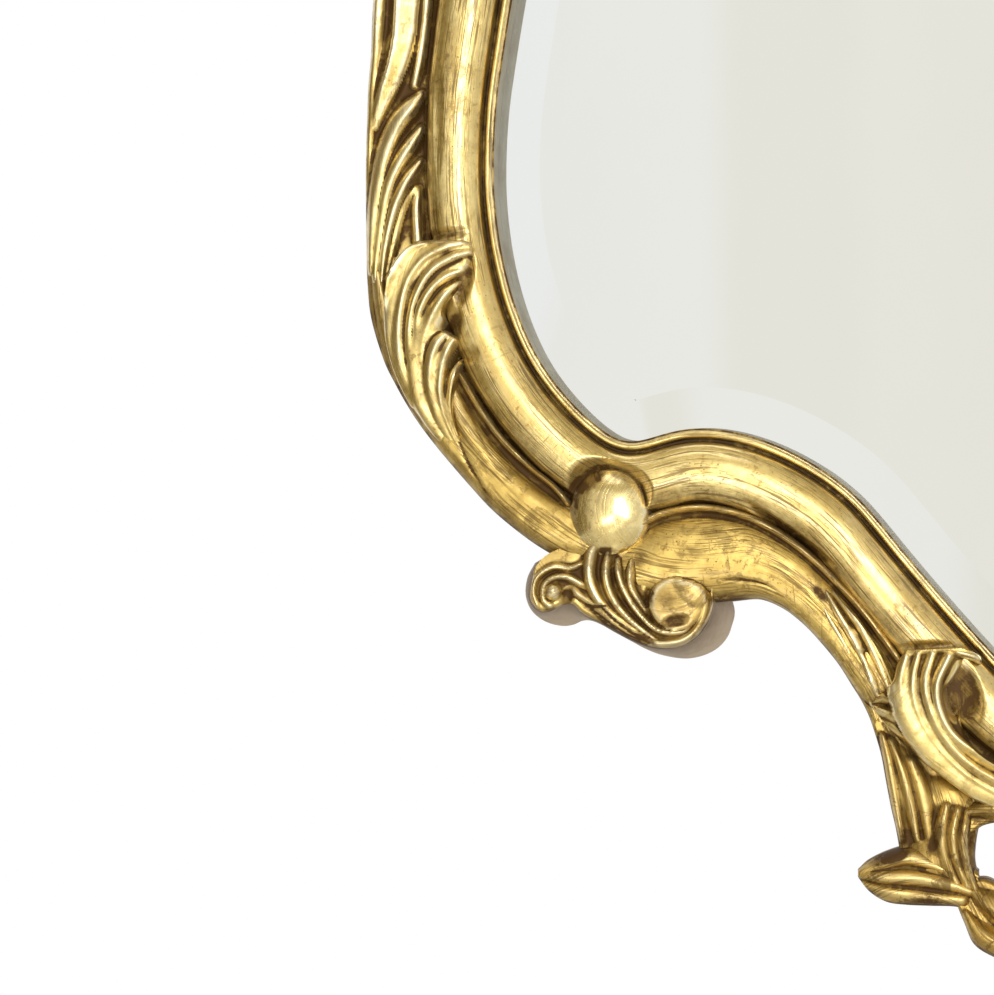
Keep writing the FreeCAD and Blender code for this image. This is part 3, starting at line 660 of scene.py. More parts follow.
def carved(name, recipe, corners, material, node=None):
    """Closed carved pieces: the carved sheet, walls down to the foot, ruled back and end faces,
    once for every corner asked for, as mirror images of the lower left one. Each stands for the node of
    its corner, or for the one node given."""
    places, edges = sheet_between(recipe["outline"], recipe.get("step", STEP_PX))
    rise, recess, crest = carve(places, edges, recipe)
    flat = traced(places, FRAME_FRONT - recipe["level"] * MM)
    foot = FRAME_FRONT - recipe["foot"] * MM
    brink = recipe.get("brink", 7.0) * MM
    outer = [np.pad(field, ((0, 0), (2, 2)), mode="edge") for field in (flat[..., 0], flat[..., 1], rise)]
    depth = FRAME_FRONT - outer[2] * MM
    depth[:, [1, -2]] = np.minimum(depth[:, [1, -2]] + brink, foot)
    depth[:, [0, -1]] = foot
    wall = np.zeros_like(depth)
    wall[:, [0, 1, -2, -1]] = 1
    recess, crest = (np.pad(field, ((0, 0), (2, 2))) for field in (recess, crest))
    flow = np.stack([edges["start"], edges["left"], rise], axis=-1)
    flow = np.pad(flow, ((0, 0), (2, 2), (0, 0)), mode="edge").reshape(-1, 3) * METRES_PER_PX
    vertices = np.stack([outer[0], depth, outer[1]], axis=-1).reshape(-1, 3)
    at_back = vertices[:, 1] >= foot - 1e-9
    faces = slab_faces(*depth.shape)
    for number, (corner, across, upward) in enumerate(corners):
        placed = at_corner(vertices, across, upward)
        placed[at_back, 1] -= number * BACK_STAGGER
        piece = closed(corner + name + "_gilt", placed, faces, {
            "recess": recess.ravel(), "crest": crest.ravel(), "wall": wall.ravel(),
            "flow": flow + [number * GRAIN_SHIFT, 0, 0]}, material)
        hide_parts(node or corner + name)


def sloping_side(name, top_px, foot_px, top_rise, foot_rise, node, material):
    """Painted side under a carved piece: straight lines from its top contour to its silhouette at the
    back, closed by a lid and a base. Its layer shade, 1 at the top and 0 at the foot, sets where painted
    shade darkens what lies close under the carving."""
    top = curve_through(np.array(top_px + top_px[:1], float), 160)[:-1]
    foot = curve_through(np.array(foot_px + foot_px[:1], float), 160)[:-1]
    rows = []
    for share in np.linspace(0, 1, 7):
        depth = FRAME_FRONT - (top_rise + (foot_rise - top_rise) * share) * MM
        flat = (traced(top, FRAME_FRONT - top_rise * MM) * (1 - share)
                + traced(foot, FRAME_FRONT - foot_rise * MM) * share)
        rows.append(np.insert(flat, 1, depth, axis=1))
    shade = np.repeat(np.linspace(1, 0, len(rows)) ** 1.6, len(top))
    faces = tube_faces(len(rows), len(top))
    for corner, across, upward in FOUR_CORNERS:
        placed = at_corner(np.vstack(rows), across, upward)
        piece = closed(corner + name, placed, faces, {"shade": shade}, material)
        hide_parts(corner + node)


def slotted_screws(name, node, places, head_radius, shank_radius, rise, material):
    """Pan head screws seen from the back: each head is a ruled disc whose back falls by r**2 from its
    middle, with a straight slot across it; its shank is a twelve-sided bar that narrows to its tip."""
    low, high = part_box(node)
    back, tip = high[1], low[1]
    under = back - rise
    shares = np.array([.985, .94, .85, .72, .56, .4, .25, .16, .15])
    c = np.r_[-shares, shares[::-1]][:, None] * head_radius
    v = np.linspace(-1, 1, 15)[None, :] * np.sqrt(head_radius ** 2 - c ** 2)
    slot_cut = np.where(np.abs(c) < .155 * head_radius, .4 * rise, 0)
    fall = .5 * rise * (c ** 2 + v ** 2) / head_radius ** 2 + slot_cut
    c, v = (np.pad(np.broadcast_to(field, fall.shape), ((0, 0), (1, 1)), mode="edge") for field in (c, v))
    depth = np.pad(back - fall, ((0, 0), (1, 1)), constant_values=under)
    head = np.stack([c, depth, v], axis=-1).reshape(-1, 3)
    sides = 12
    a = np.linspace(0, 2 * math.pi, sides, endpoint=False)
    rings = ((shank_radius, under), (shank_radius, tip + .003), (shank_radius * .3, tip))
    bar = np.vstack([np.stack([np.cos(a) * r, np.full(sides, y), np.sin(a) * r], axis=1) for r, y in rings])
    faces = slab_faces(*depth.shape)
    faces += [[k + len(head) for k in face] for face in tube_faces(3, sides)]
    one = np.vstack([head, bar])
    every, count = [], len(one)
    for number, (x, z) in enumerate(places):
        turn = math.radians(25 + 47 * number)  # no two slots point alike
        turned = one.copy()
        turned[:, 0] = one[:, 0] * math.cos(turn) - one[:, 2] * math.sin(turn) + x
        turned[:, 2] = one[:, 0] * math.sin(turn) + one[:, 2] * math.cos(turn) + z
        every.append(turned)
    all_faces = [[k + number * count for k in face] for number in range(len(places)) for face in faces]
    piece = closed(name, np.vstack(every), all_faces, {}, material)
    piece.data.set_sharp_from_angle(angle=math.radians(32))
    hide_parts(node)


# Places of the screws, X and Z in metres, as in the part's source
BUTTON_PIVOTS = [(-.29421, -.598126), (.29421, -.598126), (-.29421, -.267874), (.29421, -.267874),
                 (0, -.849), (0, -.017)]
RING_AXIS_X, RING_AXIS_Z = .302315, -.336306
STRAP_SCREWS = [(side * RING_AXIS_X, RING_AXIS_Z - below) for side in (-1, 1) for below in (.009, .027)]
BOTTOM_SIDES = [("apron_left_", 1, 1), ("apron_right_", -1, 1)]
TOP_SIDES = [("crest_left_", 1, -1), ("crest_right_", -1, -1)]
FOUR_CORNERS = [("lower_left_", 1, 1), ("lower_right_", -1, 1), ("upper_left_", 1, -1),
                ("upper_right_", -1, -1)]


def level_ground(*heights):
    """Ground rises in millimetres at equal shares of a piece's length."""
    return tuple(float(h) for h in heights)


# Recipes of the carved pieces, in pixels of the photograph and millimetres of rise over the member.
# outline: ruled stations, each a left and a right place. level: the rise at which it was traced.
# foot: the rise at which the walls end. brink: how far down a wall the gilding goes before the paint.
# strands: stations of (x, y, half width, rise), lean of the crest and power of its slopes.
# fuller: how much wider all strands are made and what is added to their powers.
# root: share of the rise at a strand's edges. web: width and rise of the low fold under each strand, as
# shares of its own. lines: cuts, given like strands, with the darkness of the painted shade in them.
# stains: patches of painted shade, given by centre, reaches, angle and amount. rounded: how far from each
# edge the rise is eased down, to edge_rise. step: spacing of the sheet's grid.
SIDE_LEAF = {
    "outline": [
        ((394, -226), (458, -226)), ((390, -180), (455, -180)), ((382, -110), (448, -115)),
        ((373, -45), (440, -50)), ((369, 10), (433, 0)), ((368, 50), (428, 50)), ((365, 85), (425, 85)),
        ((363.5, 130), (424, 125)), ((362.5, 170), (424, 165)), ((362.5, 205), (425, 205)),
        ((363, 240), (424, 238)), ((364, 270), (410, 256)), ((370, 296), (392, 284)),
    ],
    "strands": [
        (((446, -222, 5, 8), (440, -150, 6, 9), (430, -60, 5.5, 9), (425, 10, 5, 8.5), (420, 50, 5, 8),
          (413, 84, 4, 6)), 0, 2),
        (((424, -222, 15, 8), (420, -170, 16, 9), (413, -110, 16, 9), (407, -50, 15, 10),
          (405, 0, 13, 10), (402, 30, 12, 10), (394, 62, 11, 9), (382, 96, 9, 8),
          (373, 125, 5, 6)), .35, 2.4),
        (((401, -222, 7, 5), (394, -150, 8, 6), (383, -60, 8, 7), (378, 10, 7, 7.5), (374, 60, 7, 7),
          (369, 110, 6, 6.5), (366, 160, 5, 6), (365, 210, 4, 5)), -.3, 2),
        (((421, 93, 4, 9), (410, 106, 7, 11.5), (397, 123, 8, 11.5), (386, 147, 8, 10.5),
          (379, 172, 7, 9.5), (373, 203, 6, 8.5), (369, 240, 5, 7.5), (367, 272, 3, 6)), .45, 1.7),
        (((420, 128, 4, 9), (410, 143, 6, 11), (399, 160, 7, 11), (388, 182, 7, 10), (382, 206, 6, 9),
          (377, 235, 5, 8), (374, 262, 4, 7), (373, 282, 3, 6)), .45, 1.7),
        (((420, 160, 3, 8.5), (411, 172, 5, 10.5), (402, 186, 6, 10.5), (393, 206, 6, 9.5),
          (387, 228, 5, 8.5), (382, 252, 5, 7.5), (379, 282, 3, 6)), .45, 1.7),
        (((414, 186, 3, 6), (405, 200, 4, 7), (397, 222, 4, 6.5), (391, 246, 4, 6),
          (385, 272, 3, 5)), .3, 1.8),
        (((417, 186, 3.6, 5), (415, 208, 4.5, 6.5), (416, 240, 4.5, 6)), 0, 2),
    ],
    "shapes": [
        facet(((428, -222, 15, 9.5), (422, -170, 15, 10.5), (415, -110, 15, 11.5), (410, -50, 14, 13),
               (408, -5, 13, 13.6), (406, 28, 12, 13.6), (399, 60, 10.5, 12), (387, 92, 8, 9.5),
               (376, 122, 4.5, 7)), 2.6),
    ],
    "ground": 3.2, "rounded": {"left": 8, "right": 3}, "foot": -14.0, "level": 8.0, "web": (1.7, .78),
    "fuller": (1.28, .4), "root": .55,
}
TURNOVER_LEAF = {
    "outline": [
        ((436, 237), (452, 233)), ((414, 241), (467, 238)), ((400, 249), (474, 250)),
        ((390, 266), (469, 268)), ((383.5, 290), (457, 291)), ((380, 314), (444, 312)),
        ((381, 334), (452, 331)), ((385, 354), (462, 349)), ((391, 374), (458, 371)),
        ((401, 396), (452, 394)), ((414, 418), (452, 416)), ((430, 439), (458, 437)),
        ((449, 459), (467, 457)), ((466, 476), (474, 476)),
    ],
    "strands": [
        (((471, 250, 8, 17.5), (452, 251, 11, 19), (430, 257, 14, 19.5), (410, 272, 17, 18.5),
          (399, 296, 15, 16.5), (394, 325, 12, 14), (396, 360, 12, 11.5), (408, 395, 11, 9)), 0, 3.5),
        (((460, 285, 6, 16), (446, 298, 10, 18), (431, 320, 13, 17), (420, 350, 14, 15),
          (419, 380, 13, 13), (426, 408, 11, 10.5), (441, 434, 8, 8), (460, 460, 5, 5)), 0, 3.5),
        (((449, 340, 6, 16), (440, 355, 9, 17), (435, 380, 10, 15), (438, 408, 9, 12), (450, 436, 7, 8.5),
          (463, 458, 4, 6)), 0, 3.5),
        (((463, 364, 5, 14), (454, 380, 7, 14.5), (450, 404, 7, 12), (457, 432, 6, 9)), 0, 3.5),
        (((463, 262, 9, 17.5), (443, 272, 13, 18.5), (426, 291, 14, 17.5), (414, 320, 14, 15),
          (410, 350, 12, 12.5), (416, 385, 9, 10)), 0, 3.5),
        (((461, 271, 4, 18.5), (446, 276, 6, 19.5), (431, 289, 6.5, 19.5), (419.5, 309, 6, 18),
          (414, 334, 5, 15.5), (413, 360, 4.5, 13), (418, 386, 3.5, 10.5)), .35, 1.7),
        (((434, 243, 4, 17), (415, 250, 7, 19), (402, 263, 8, 18.5), (393, 283, 7.5, 16.5),
          (388.5, 304, 6, 14), (387, 328, 3, 10)), .35, 2.0),
        (((463, 243, 4, 19), (444, 248, 6, 20.5), (424, 259, 6, 20.5), (409, 278, 6, 19),
          (401, 302, 6, 17.5), (397, 334, 6, 15.5), (399, 362, 6.5, 13.5), (407, 388, 6, 11),
          (417, 408, 5, 9), (431, 430, 4, 7), (447, 451, 3, 5)), .3, 1.8),
        (((470, 252, 4, 19), (453, 257, 6, 21), (433, 269, 6, 21), (419, 288, 6, 19.5),
          (410.5, 311, 5, 17.5), (407, 338, 5, 15.5), (408, 364, 4.5, 13.5),
          (413, 388, 3.5, 11)), .45, 1.6),
        (((456, 284, 4, 18), (446, 293, 6, 20), (435, 308, 7, 19), (425, 328, 7, 17), (420, 350, 6, 15.5),
          (419.5, 374, 5.5, 13.5), (423, 398, 5, 11.5), (432, 420, 4, 9), (446, 444, 3, 6)), .4, 1.7),
        (((445, 334, 4, 18), (437, 343, 6, 19), (430.5, 358, 6, 17.5), (428, 378, 5.5, 15.5),
          (430.5, 400, 5, 13), (438, 421, 4, 10), (450, 444, 3, 7)), .35, 1.8),
        (((455, 338, 4, 18), (447, 350, 5.5, 18.5), (441, 368, 5, 17), (438, 390, 4.5, 15),
          (441, 412, 4, 12), (450, 436, 3, 9), (461, 455, 2.5, 6)), .4, 1.7),
        (((460, 362, 4, 15), (453, 374, 5, 16), (448.5, 390, 4.5, 14), (448, 410, 4, 11.5),
          (454, 432, 3, 9), (465, 455, 2.5, 6)), .3, 1.8),
    ],
    "shapes": [
        facet(((430, 246, 4, 19.5), (412, 255, 8, 20.5), (399, 272, 9.5, 19.5), (391, 293, 8.5, 17.5),
               (387, 316, 5, 14)), 2.2),
    ],
    "ground": level_ground(8, 8, 7, 5, 4, 3, 3, 3, 3), "rounded": {"left": 3, "right": 2, "start": 2},
    "foot": -3.0, "level": 15.0, "fuller": (1.1, .3), "root": .8,
}
SIDE_SCROLL = {
    "outline": [
        ((363, 250), (420, 262)), ((364, 282), (424, 290)), ((368, 318), (440, 330)),
        ((380, 358), (455, 361)), ((391, 381), (466, 377)), ((402, 401), (476, 394)),
        ((414, 420), (489, 414)), ((428, 439), (503, 434)), ((446, 461), (519, 452)),
        ((466, 484), (537, 469)), ((487, 507), (555, 483)), ((510, 527), (570, 500)),
        ((533, 544), (586, 522)), ((556, 558), (602, 540)), ((580, 572), (620, 552)),
    ],
    "strands": [
        (((460, 374, 4, 11.5), (470, 391, 5, 12), (484, 414, 5, 12), (500, 436, 5, 12), (518, 455, 5, 12),
          (538, 472, 5, 12), (555, 486, 5, 12), (568, 503, 4, 11)), 0, 2),
        (((452, 392, 10, 7.5), (462, 418, 14, 8.4), (478, 446, 17, 8.8), (498, 472, 18, 9),
          (523, 496, 19, 9.2), (552, 515, 19, 9.4), (592, 532, 18, 9.6)), -.2, 2.4),
        (((372, 262, 6, 6), (379, 300, 10, 7), (389, 340, 14, 6.8), (405, 375, 17, 6.8),
          (428, 415, 21, 7.4), (448, 445, 24, 8.2), (473, 474, 27, 8.8), (499, 500, 28, 9.2),
          (526, 520, 28, 9.6), (556, 534, 27, 9.8), (594, 545, 24, 9.8)), .3, 2.8),
    ],
    "lines": [
        ((((451, 390, 1.6, .8), (452, 415, 1.6, .9), (459, 440, 1.7, .9), (470, 466, 1.6, .9),
           (486, 492, 1.3, .6)), 0, 2), 1.0),
        ((((476, 428, 1.2, .5), (486, 448, 1.2, .6), (500, 468, 1.2, .5), (512, 482, 1, .3)), 0, 2), .8),
    ],
    "ground": 4.5, "rounded": {"left": 16, "right": 3}, "foot": -13.45, "level": 8.0,
}
BASE_SCROLL = {
    "outline": [
        ((606, 590), (628, 520)), ((632, 592), (644, 514)), ((664, 600), (664, 507)),
        ((698, 603), (690, 502.5)), ((728, 601), (716, 503)), ((757, 599), (743, 509)),
        ((781, 608), (769, 521)), ((802, 624), (796, 538)), ((820, 643), (822, 559)),
        ((837, 664), (847, 584)), ((851, 686), (869, 609)), ((862, 704), (887, 634)),
        ((873, 728), (904, 660)),
    ],
    "strands": [
        (((640, 528, 4, 10.5), (648, 520, 5, 12), (664, 512.5, 5, 12), (690, 507.5, 4.6, 12),
          (714, 508, 4.6, 12), (742, 514.5, 4.8, 12), (766, 525.5, 5, 12), (792, 542, 5, 12),
          (818, 563.5, 5, 12), (843, 588.5, 5, 12), (865, 613, 5, 12), (883, 637, 5, 12),
          (900, 660, 5, 12)), 0, 2),
        (((636, 566, 34, 9), (665, 560, 42, 9.8), (700, 557, 46, 10), (740, 560, 42, 10),
          (774, 572, 36, 9.9), (802, 590, 31, 9.7), (826, 613, 28, 9.5), (851, 645, 26, 9.3),
          (878, 684, 24, 9)), -.1, 2.8),
        (((768, 580, 3, 6.5), (784, 588, 5, 8.2), (802, 602, 6, 8), (818, 620, 6, 7.5), (834, 645, 5, 7),
          (848, 668, 4, 6)), .4, 1.7),
    ],
    # Patches of painted shade
    "shade_patches": [
        ((700, 530), (50, 9), 2, .42), ((640, 560), (9, 14), 10, .5), ((820, 594), (16, 7), 50, .8),
        ((725, 596), (36, 6), 0, .6),
    ],
    "lines": [
        ((((722, 580.5, 1, .4), (735, 579.5, 1.4, .7), (750, 580.5, 1.4, .8), (764, 584, 1.3, .6),
           (776, 590, 1, .4)), 0, 2), 1.0),
    ],
    "ground": 4.5, "rounded": {"left": 9, "right": 3}, "foot": -12.9, "level": 8.0,
}
BASE_LEAF = {
    "outline": [
        ((812, 586), (828, 584)), ((810, 598), (842, 602)), ((815, 616), (858, 620)),
        ((826, 637), (872, 640)), ((841, 660), (884, 662)), ((855, 682), (893, 685)),
        ((867, 704), (900, 708)), ((876, 722), (908, 724)),
    ],
    "strands": [
        (((814, 606, 3, 7), (825, 630, 4, 8.5), (841, 657, 4.5, 8), (857, 684, 4, 7),
          (870, 706, 3, 6)), .4, 1.7),
        (((818, 597, 3, 8.5), (828, 618, 4.5, 10.5), (842, 642, 5, 10), (858, 672, 4.5, 8.5),
          (873, 702, 3, 7)), .4, 1.7),
        (((825, 592, 3.5, 9.5), (836, 611, 5, 12.5), (850, 635, 5.5, 12), (866, 667, 5, 10.5),
          (881, 702, 4, 8)), .4, 1.7),
        (((833, 593, 3.5, 10.5), (846, 609, 5, 13.5), (861, 630, 5.5, 13.5), (876, 660, 5, 11.5),
          (890, 694, 4, 9)), .4, 1.7),
        (((851, 612, 3, 9), (865, 630, 4.5, 12), (880, 655, 4.5, 11.5), (891, 680, 4, 10),
          (900, 706, 3, 8)), .4, 1.7),
    ],
    "shapes": [
        facet(((846, 624, 3, 12.5), (853, 634, 4.5, 13.5), (861, 650, 4, 12.5)), 1.6),
        facet(((866, 664, 3, 11.5), (873, 680, 4.5, 12), (880, 698, 3, 10)), 1.6),
    ],
    "ground": 3.5, "rounded": {"left": 4, "start": 2}, "foot": -12.0, "level": 9.0, "web": (1.7, .78),
    "fuller": (1.12, .5), "root": .55,
}
FLUTED_LEAF = {
    "outline": [
        ((905, 649), (962, 647)), ((896, 664), (982, 658)), ((891, 682), (972, 680)),
        ((876, 696), (963, 702)), ((871, 708), (961, 720)), ((890, 732), (966, 738)),
        ((909, 752), (976, 750)), ((932, 771), (992, 762)), ((957, 790), (1012, 772)),
        ((984, 809), (1034, 780)), ((1018, 824), (1060, 786)), ((1060, 831), (1086, 790)),
        ((1100, 826), (1108, 792)),
    ],
    "strands": [
        (((929, 656, 31, 17.5), (917, 682, 28, 18.5), (922, 710, 26, 17.5), (938, 740, 24, 15.5),
          (966, 768, 23, 13), (1004, 790, 19, 11), (1050, 804, 15, 8.5), (1096, 812, 10, 6)), 0, 4),
        (((905, 657, 6, 17), (925, 650, 6, 19.5), (948, 648, 6, 20.5), (966, 651, 6, 20),
          (981, 659, 4, 17)), 0, 2.5),
        (((906, 656, 4, 19), (900, 680, 6, 19), (902.5, 705, 6.5, 17.5), (913, 731, 6.5, 15.5),
          (932, 755, 6.5, 13.5), (958, 779, 6, 11.5), (992, 803, 5, 10), (1040, 820, 4, 8),
          (1085, 820, 3, 6)), .3, 1.7),
        (((918, 654, 5, 20), (912.5, 680, 6, 20), (915.5, 707, 6, 18.5), (928, 735, 6, 16.5),
          (949, 761, 6, 14.5), (981, 786, 6, 12.5), (1026, 805, 5, 10.5), (1080, 812, 3, 7)), .3, 1.6),
        (((932, 653, 6, 21), (925, 680, 6.5, 21), (929.5, 708, 6.5, 19.5), (943, 736, 6.5, 17.5),
          (967, 763, 6, 15.5), (1001, 784, 6, 13.5), (1045, 797, 5, 11), (1090, 801, 3, 7.5)), .3, 1.6),
        (((948, 655, 6, 21.5), (936.5, 680, 6.5, 22), (937, 704, 6, 20.5), (948, 731, 6, 18.5),
          (969, 751, 6, 16.5), (1002, 769, 6, 14), (1046, 783, 5, 12), (1095, 791, 3, 8)), .55, 1.5),
        (((873, 700, 4, 10), (884, 698, 5.5, 13), (896, 702, 5.5, 14), (905, 710, 4, 13)), 0, 1.8),
        (((872, 708, 4, 9), (888, 714, 5, 12), (905, 724, 5, 14), (920, 738, 3, 12)), .2, 1.8),
        (((880, 722, 4, 8), (898, 730, 5.5, 11.5), (920, 746, 6, 12.5), (946, 769, 5, 11.5),
          (970, 786, 4, 9.5)), .2, 1.8),
        (((958, 652, 4, 21), (972, 656, 4, 20), (980, 661, 3, 18)), 0, 2),
        (((962, 706, 3, 13), (962, 724, 4, 13.5), (974, 742, 4, 13), (994, 756, 3, 12)), 0, 2),
    ],
    "ground": level_ground(9, 8, 7, 6, 6, 6, 5, 5, 4, 4, 4),
    "rounded": {"left": 3, "right": 2, "start": 2}, "foot": -3.0, "level": 14.0, "fuller": (1.1, .3),
    "root": .8,
}


def disc_outline(centre, radius, rows):
    """Ruled stations of a disc: chords of the circle from its top to its bottom."""
    stations = []
    for i in range(rows):
        a = math.pi * (i + .02) / (rows - 1 + .04)
        half = radius * math.sin(a)
        y = centre[1] - radius * math.cos(a)
        stations.append(((centre[0] - half, y), (centre[0] + half, y)))
    return stations


BOSS_PIECE = {
    "outline": disc_outline((609, 510), 45, rows=17),
    "shapes": [
        mound(BALL_PX, (BALL_RADIUS_PX, BALL_RADIUS_PX), 5.0, 13.0, power=.42),
        mound((609, 512), (41, 43), 8.0, 15.6, -8, .72),
    ],
    "lines": [
        ((((570, 503, 1.6, 1), (572, 490, 2.2, 1.8), (580, 478, 2.4, 2), (593, 469.5, 2.4, 2),
           (608, 466.5, 2.4, 2), (623, 469, 2.4, 2), (636, 478, 2.2, 1.8), (644, 491, 2, 1.5),
           (646, 505, 1.4, .8)), 0, 2), .95),
    ],
    # Patches of painted shade on the ball's upper side, away from the light, and under its neck
    "shade_patches": [
        ((588, 482), (24, 13), -38, .9), ((575, 505), (8, 22), 8, .7), ((622, 476), (20, 8), 28, .7),
        ((607, 551), (14, 6), 0, .8),
    ],
    "strands": [
        (((600, 505, 24, 11), (609, 522, 30, 13.8), (614, 538, 26, 12.8), (612, 552, 14, 11.0)), 0, 2.2),
    ],
    "ground": 3.0, "foot": 0.0, "level": 11.0, "rounded": {"left": 5, "right": 5, "start": 4, "end": 3},
    "edge_rise": 2.0,
}
CLASP_TOP_PX = [
    (538, 562), (531, 575), (528, 590), (530, 602), (537, 610.5), (546, 612), (556, 607), (566, 604),
    (574, 606), (581, 613), (588, 618), (600, 623), (615, 632), (630, 640), (645, 646), (660, 649),
    (675, 648), (688, 643), (700, 632), (708, 620), (712, 605), (712, 590), (700, 566), (640, 552),
    (590, 545), (560, 552),
]
CLASP_FOOT_PX = [
    (535, 563), (528, 576), (525.5, 590), (527, 601), (532, 611), (541, 619), (552, 624), (564, 626),
    (574, 624.5), (582, 621), (590, 620.5), (601, 624.5), (616, 633), (631, 641), (646, 649), (662, 655),
    (683, 658.5), (700, 656.5), (715, 650), (725.5, 640), (731.5, 627), (734, 606), (716, 570),
    (650, 552), (590, 545), (556, 552),
]
CLASP = {
    "outline": [
        ((528.5, 596), (532, 571)), ((531, 604), (541, 559)), ((538, 611), (551, 552)),
        ((548, 611.5), (564, 547)), ((560, 605.5), (576, 544)), ((571, 604.5), (588, 541)),
        ((580, 612.5), (600, 541)), ((592, 619.5), (612, 545)), ((610, 629), (628, 551)),
        ((630, 640), (644, 558)), ((648, 647), (660, 564)), ((665, 649), (676, 568)),
        ((682, 646), (691, 571)), ((697, 636), (702, 576)), ((708, 620), (709, 582)),
        ((712.5, 605), (713, 592)),
    ],
    "strands": [
        (((584, 562, 4, 10), (570, 568, 5, 10.5), (552, 567, 6, 10.5), (537, 577, 6, 10),
          (533, 592, 5, 9.5), (537, 606, 5, 9)), 0, 2),
        (((592, 592, 7, 9), (580, 583, 6, 10.5), (566, 576.5, 4.5, 12.5), (552, 578, 4.5, 12.5),
          (543, 587, 4.5, 11.5), (543, 600, 4, 10.5), (550, 606, 3.5, 11)), .1, 1.8),
        (((597, 541, 7, 10), (591, 556, 9, 12), (590, 576, 9, 12.5), (596, 594, 9, 12),
          (609, 611, 8, 11.5), (628, 627, 7, 11), (650, 641, 5, 10)), -.1, 2.0),
        (((608, 552, 4, 12), (606, 567, 6, 15), (607, 583, 6, 15), (614, 601, 6, 14), (627, 617, 5, 13),
          (642, 630, 4, 12), (656, 640, 3, 10.5)), .2, 1.7),
        (((617, 560, 3.5, 12), (618, 572, 5, 14.5), (623, 588, 5, 14.5), (631, 603, 4.6, 14),
          (642, 617, 4, 14), (654, 628, 3.6, 14), (668, 633.5, 3.4, 13.5), (684, 632, 3, 12.5),
          (694, 624, 2.5, 11.5)), .2, 1.7),
        (((631, 561, 3.5, 12), (630, 573, 5.5, 14.5), (631, 587, 5, 14), (638, 600, 4, 13),
          (646, 611, 3, 12)), .2, 1.8),
        (((572, 590, 6, 9), (588, 602, 7, 10), (606, 617, 7, 10.5), (626, 632, 6, 10),
          (648, 643, 5, 9.5)), .1, 2),
        (((650, 643, 6, 10.5), (668, 643, 7, 11), (684, 639, 7.5, 11.5), (697, 628, 8, 12),
          (704, 612, 8, 12), (705, 598, 7, 12), (702, 586, 5, 11)), 0, 2),
    ],
    "shapes": [
        mound((676, 603), (28, 28), 11.5, 13.3, power=.4),
        mound((690, 592), (19, 13), 12.6, 14.4, 40, .9),
        mound((552, 591), (9, 10), 8.0, 12.3, 20, .8),
        hollow((676, 621), (16, 7), 1.2, -10),
        hollow((566, 597), (7, 11), 2.0, 25),
    ],
    "lines": [
        ((((709, 591, 1.5, .8), (703, 583.5, 2, 2), (690, 578, 2.3, 2.6), (676, 575, 2.5, 2.8),
           (664, 576, 2.5, 2.8), (655, 581, 2.4, 2.8), (649, 590, 2.3, 2.8), (646.5, 602, 2.2, 2.6),
           (649.5, 614, 2, 2.2), (656, 623, 1.6, 1.5), (664, 628, 1.2, .6)), 0, 2), 1.0),
        ((((572, 596, 1.3, .5), (590, 606, 1.6, 1.2), (606, 606, 1.4, .6)), 0, 2), 1.0),
        ((((600, 606, 1.2, .6), (616, 621, 1.6, 1.3), (634, 634, 1.6, 1.2),
           (650, 643, 1.2, .6)), 0, 2), 1.0),
        ((((580, 600, 1.2, .5), (598, 614, 1.4, .9), (618, 629, 1.4, .9),
           (640, 641, 1.1, .5)), 0, 2), .9),
    ],
    # Patches of painted shade in the hollows and creases
    "shade_patches": [
        ((676, 621), (17, 9), -10, .95), ((566, 598), (8, 13), 20, 1.0), ((552, 610), (14, 5), 0, .8),
        ((668, 600), (15, 16), 0, .5), ((648, 640), (22, 7), 24, .6), ((612, 556), (18, 6), 10, .6),
        ((652, 596), (6, 20), 0, .6),
    ],
    "ground": 8.0, "rounded": {"left": 5, "start": 4, "end": 4}, "foot": -3.0, "level": 10.0,
    "edge_rise": 5.0, "root": .55, "brink": 2.0,
}
APRON_FORM = {"web": (2.0, .78), "fuller": (1.2, .4), "root": .6}
APRON_POST = {
    "outline": [
        ((862, 700), (915, 735)), ((872, 728), (940, 764)), ((880, 755), (965, 790)),
        ((885, 782), (980, 808)), ((890, 808), (978, 826)), ((895, 830), (975, 844)),
        ((899, 852), (974, 862)), ((903, 870), (978, 878)), ((905, 890), (988, 892)),
    ],
    "strands": [
        (((882, 736, 3, 6), (889, 766, 5, 8.5), (895, 800, 5, 7.5), (901, 840, 3, 6)), .2, 1.8),
        (((890, 742, 4, 7), (902, 774, 5.5, 9.5), (910, 806, 5.5, 8.5), (917, 840, 3, 6)), .3, 1.7),
        (((910, 762, 5, 8), (922, 794, 8, 9), (928, 826, 6, 7.5), (930, 846, 4, 6)), 0, 2),
        (((946, 806, 4, 10), (941, 830, 6.5, 11.5), (944, 858, 6, 9.5), (957, 886, 4, 7.5)), .3, 1.7),
        (((957, 810, 4, 10), (952, 835, 5.5, 11.5), (956, 862, 5, 9.5), (967, 888, 4, 7.5)), .3, 1.7),
        (((967, 812, 3, 8.5), (962, 842, 4.5, 10), (966, 868, 4, 8.5), (975, 890, 3, 7)), .3, 1.7),
    ],
    "shapes": [
        mound((905, 786), (52, 24), 2.5, 7.5, 62, .8),
        mound((945, 800), (34, 22), 2.5, 7.0, 20, .8),
        mound((940, 858), (30, 36), 2.5, 8.0, 75, .8),
    ],
    # Patches of painted shade
    "shade_patches": [
        ((936, 838), (9, 22), 20, .95), ((918, 752), (30, 9), 32, .8), ((902, 838), (6, 20), -10, .6),
        ((962, 846), (5, 30), 0, .6),
    ],
    "ground": 3.0, "rounded": {"left": 6, "right": 4}, "foot": -15.0, "level": 8.0, "web": (1.9, .7),
    "fuller": (1.2, .4), "root": .6,
}
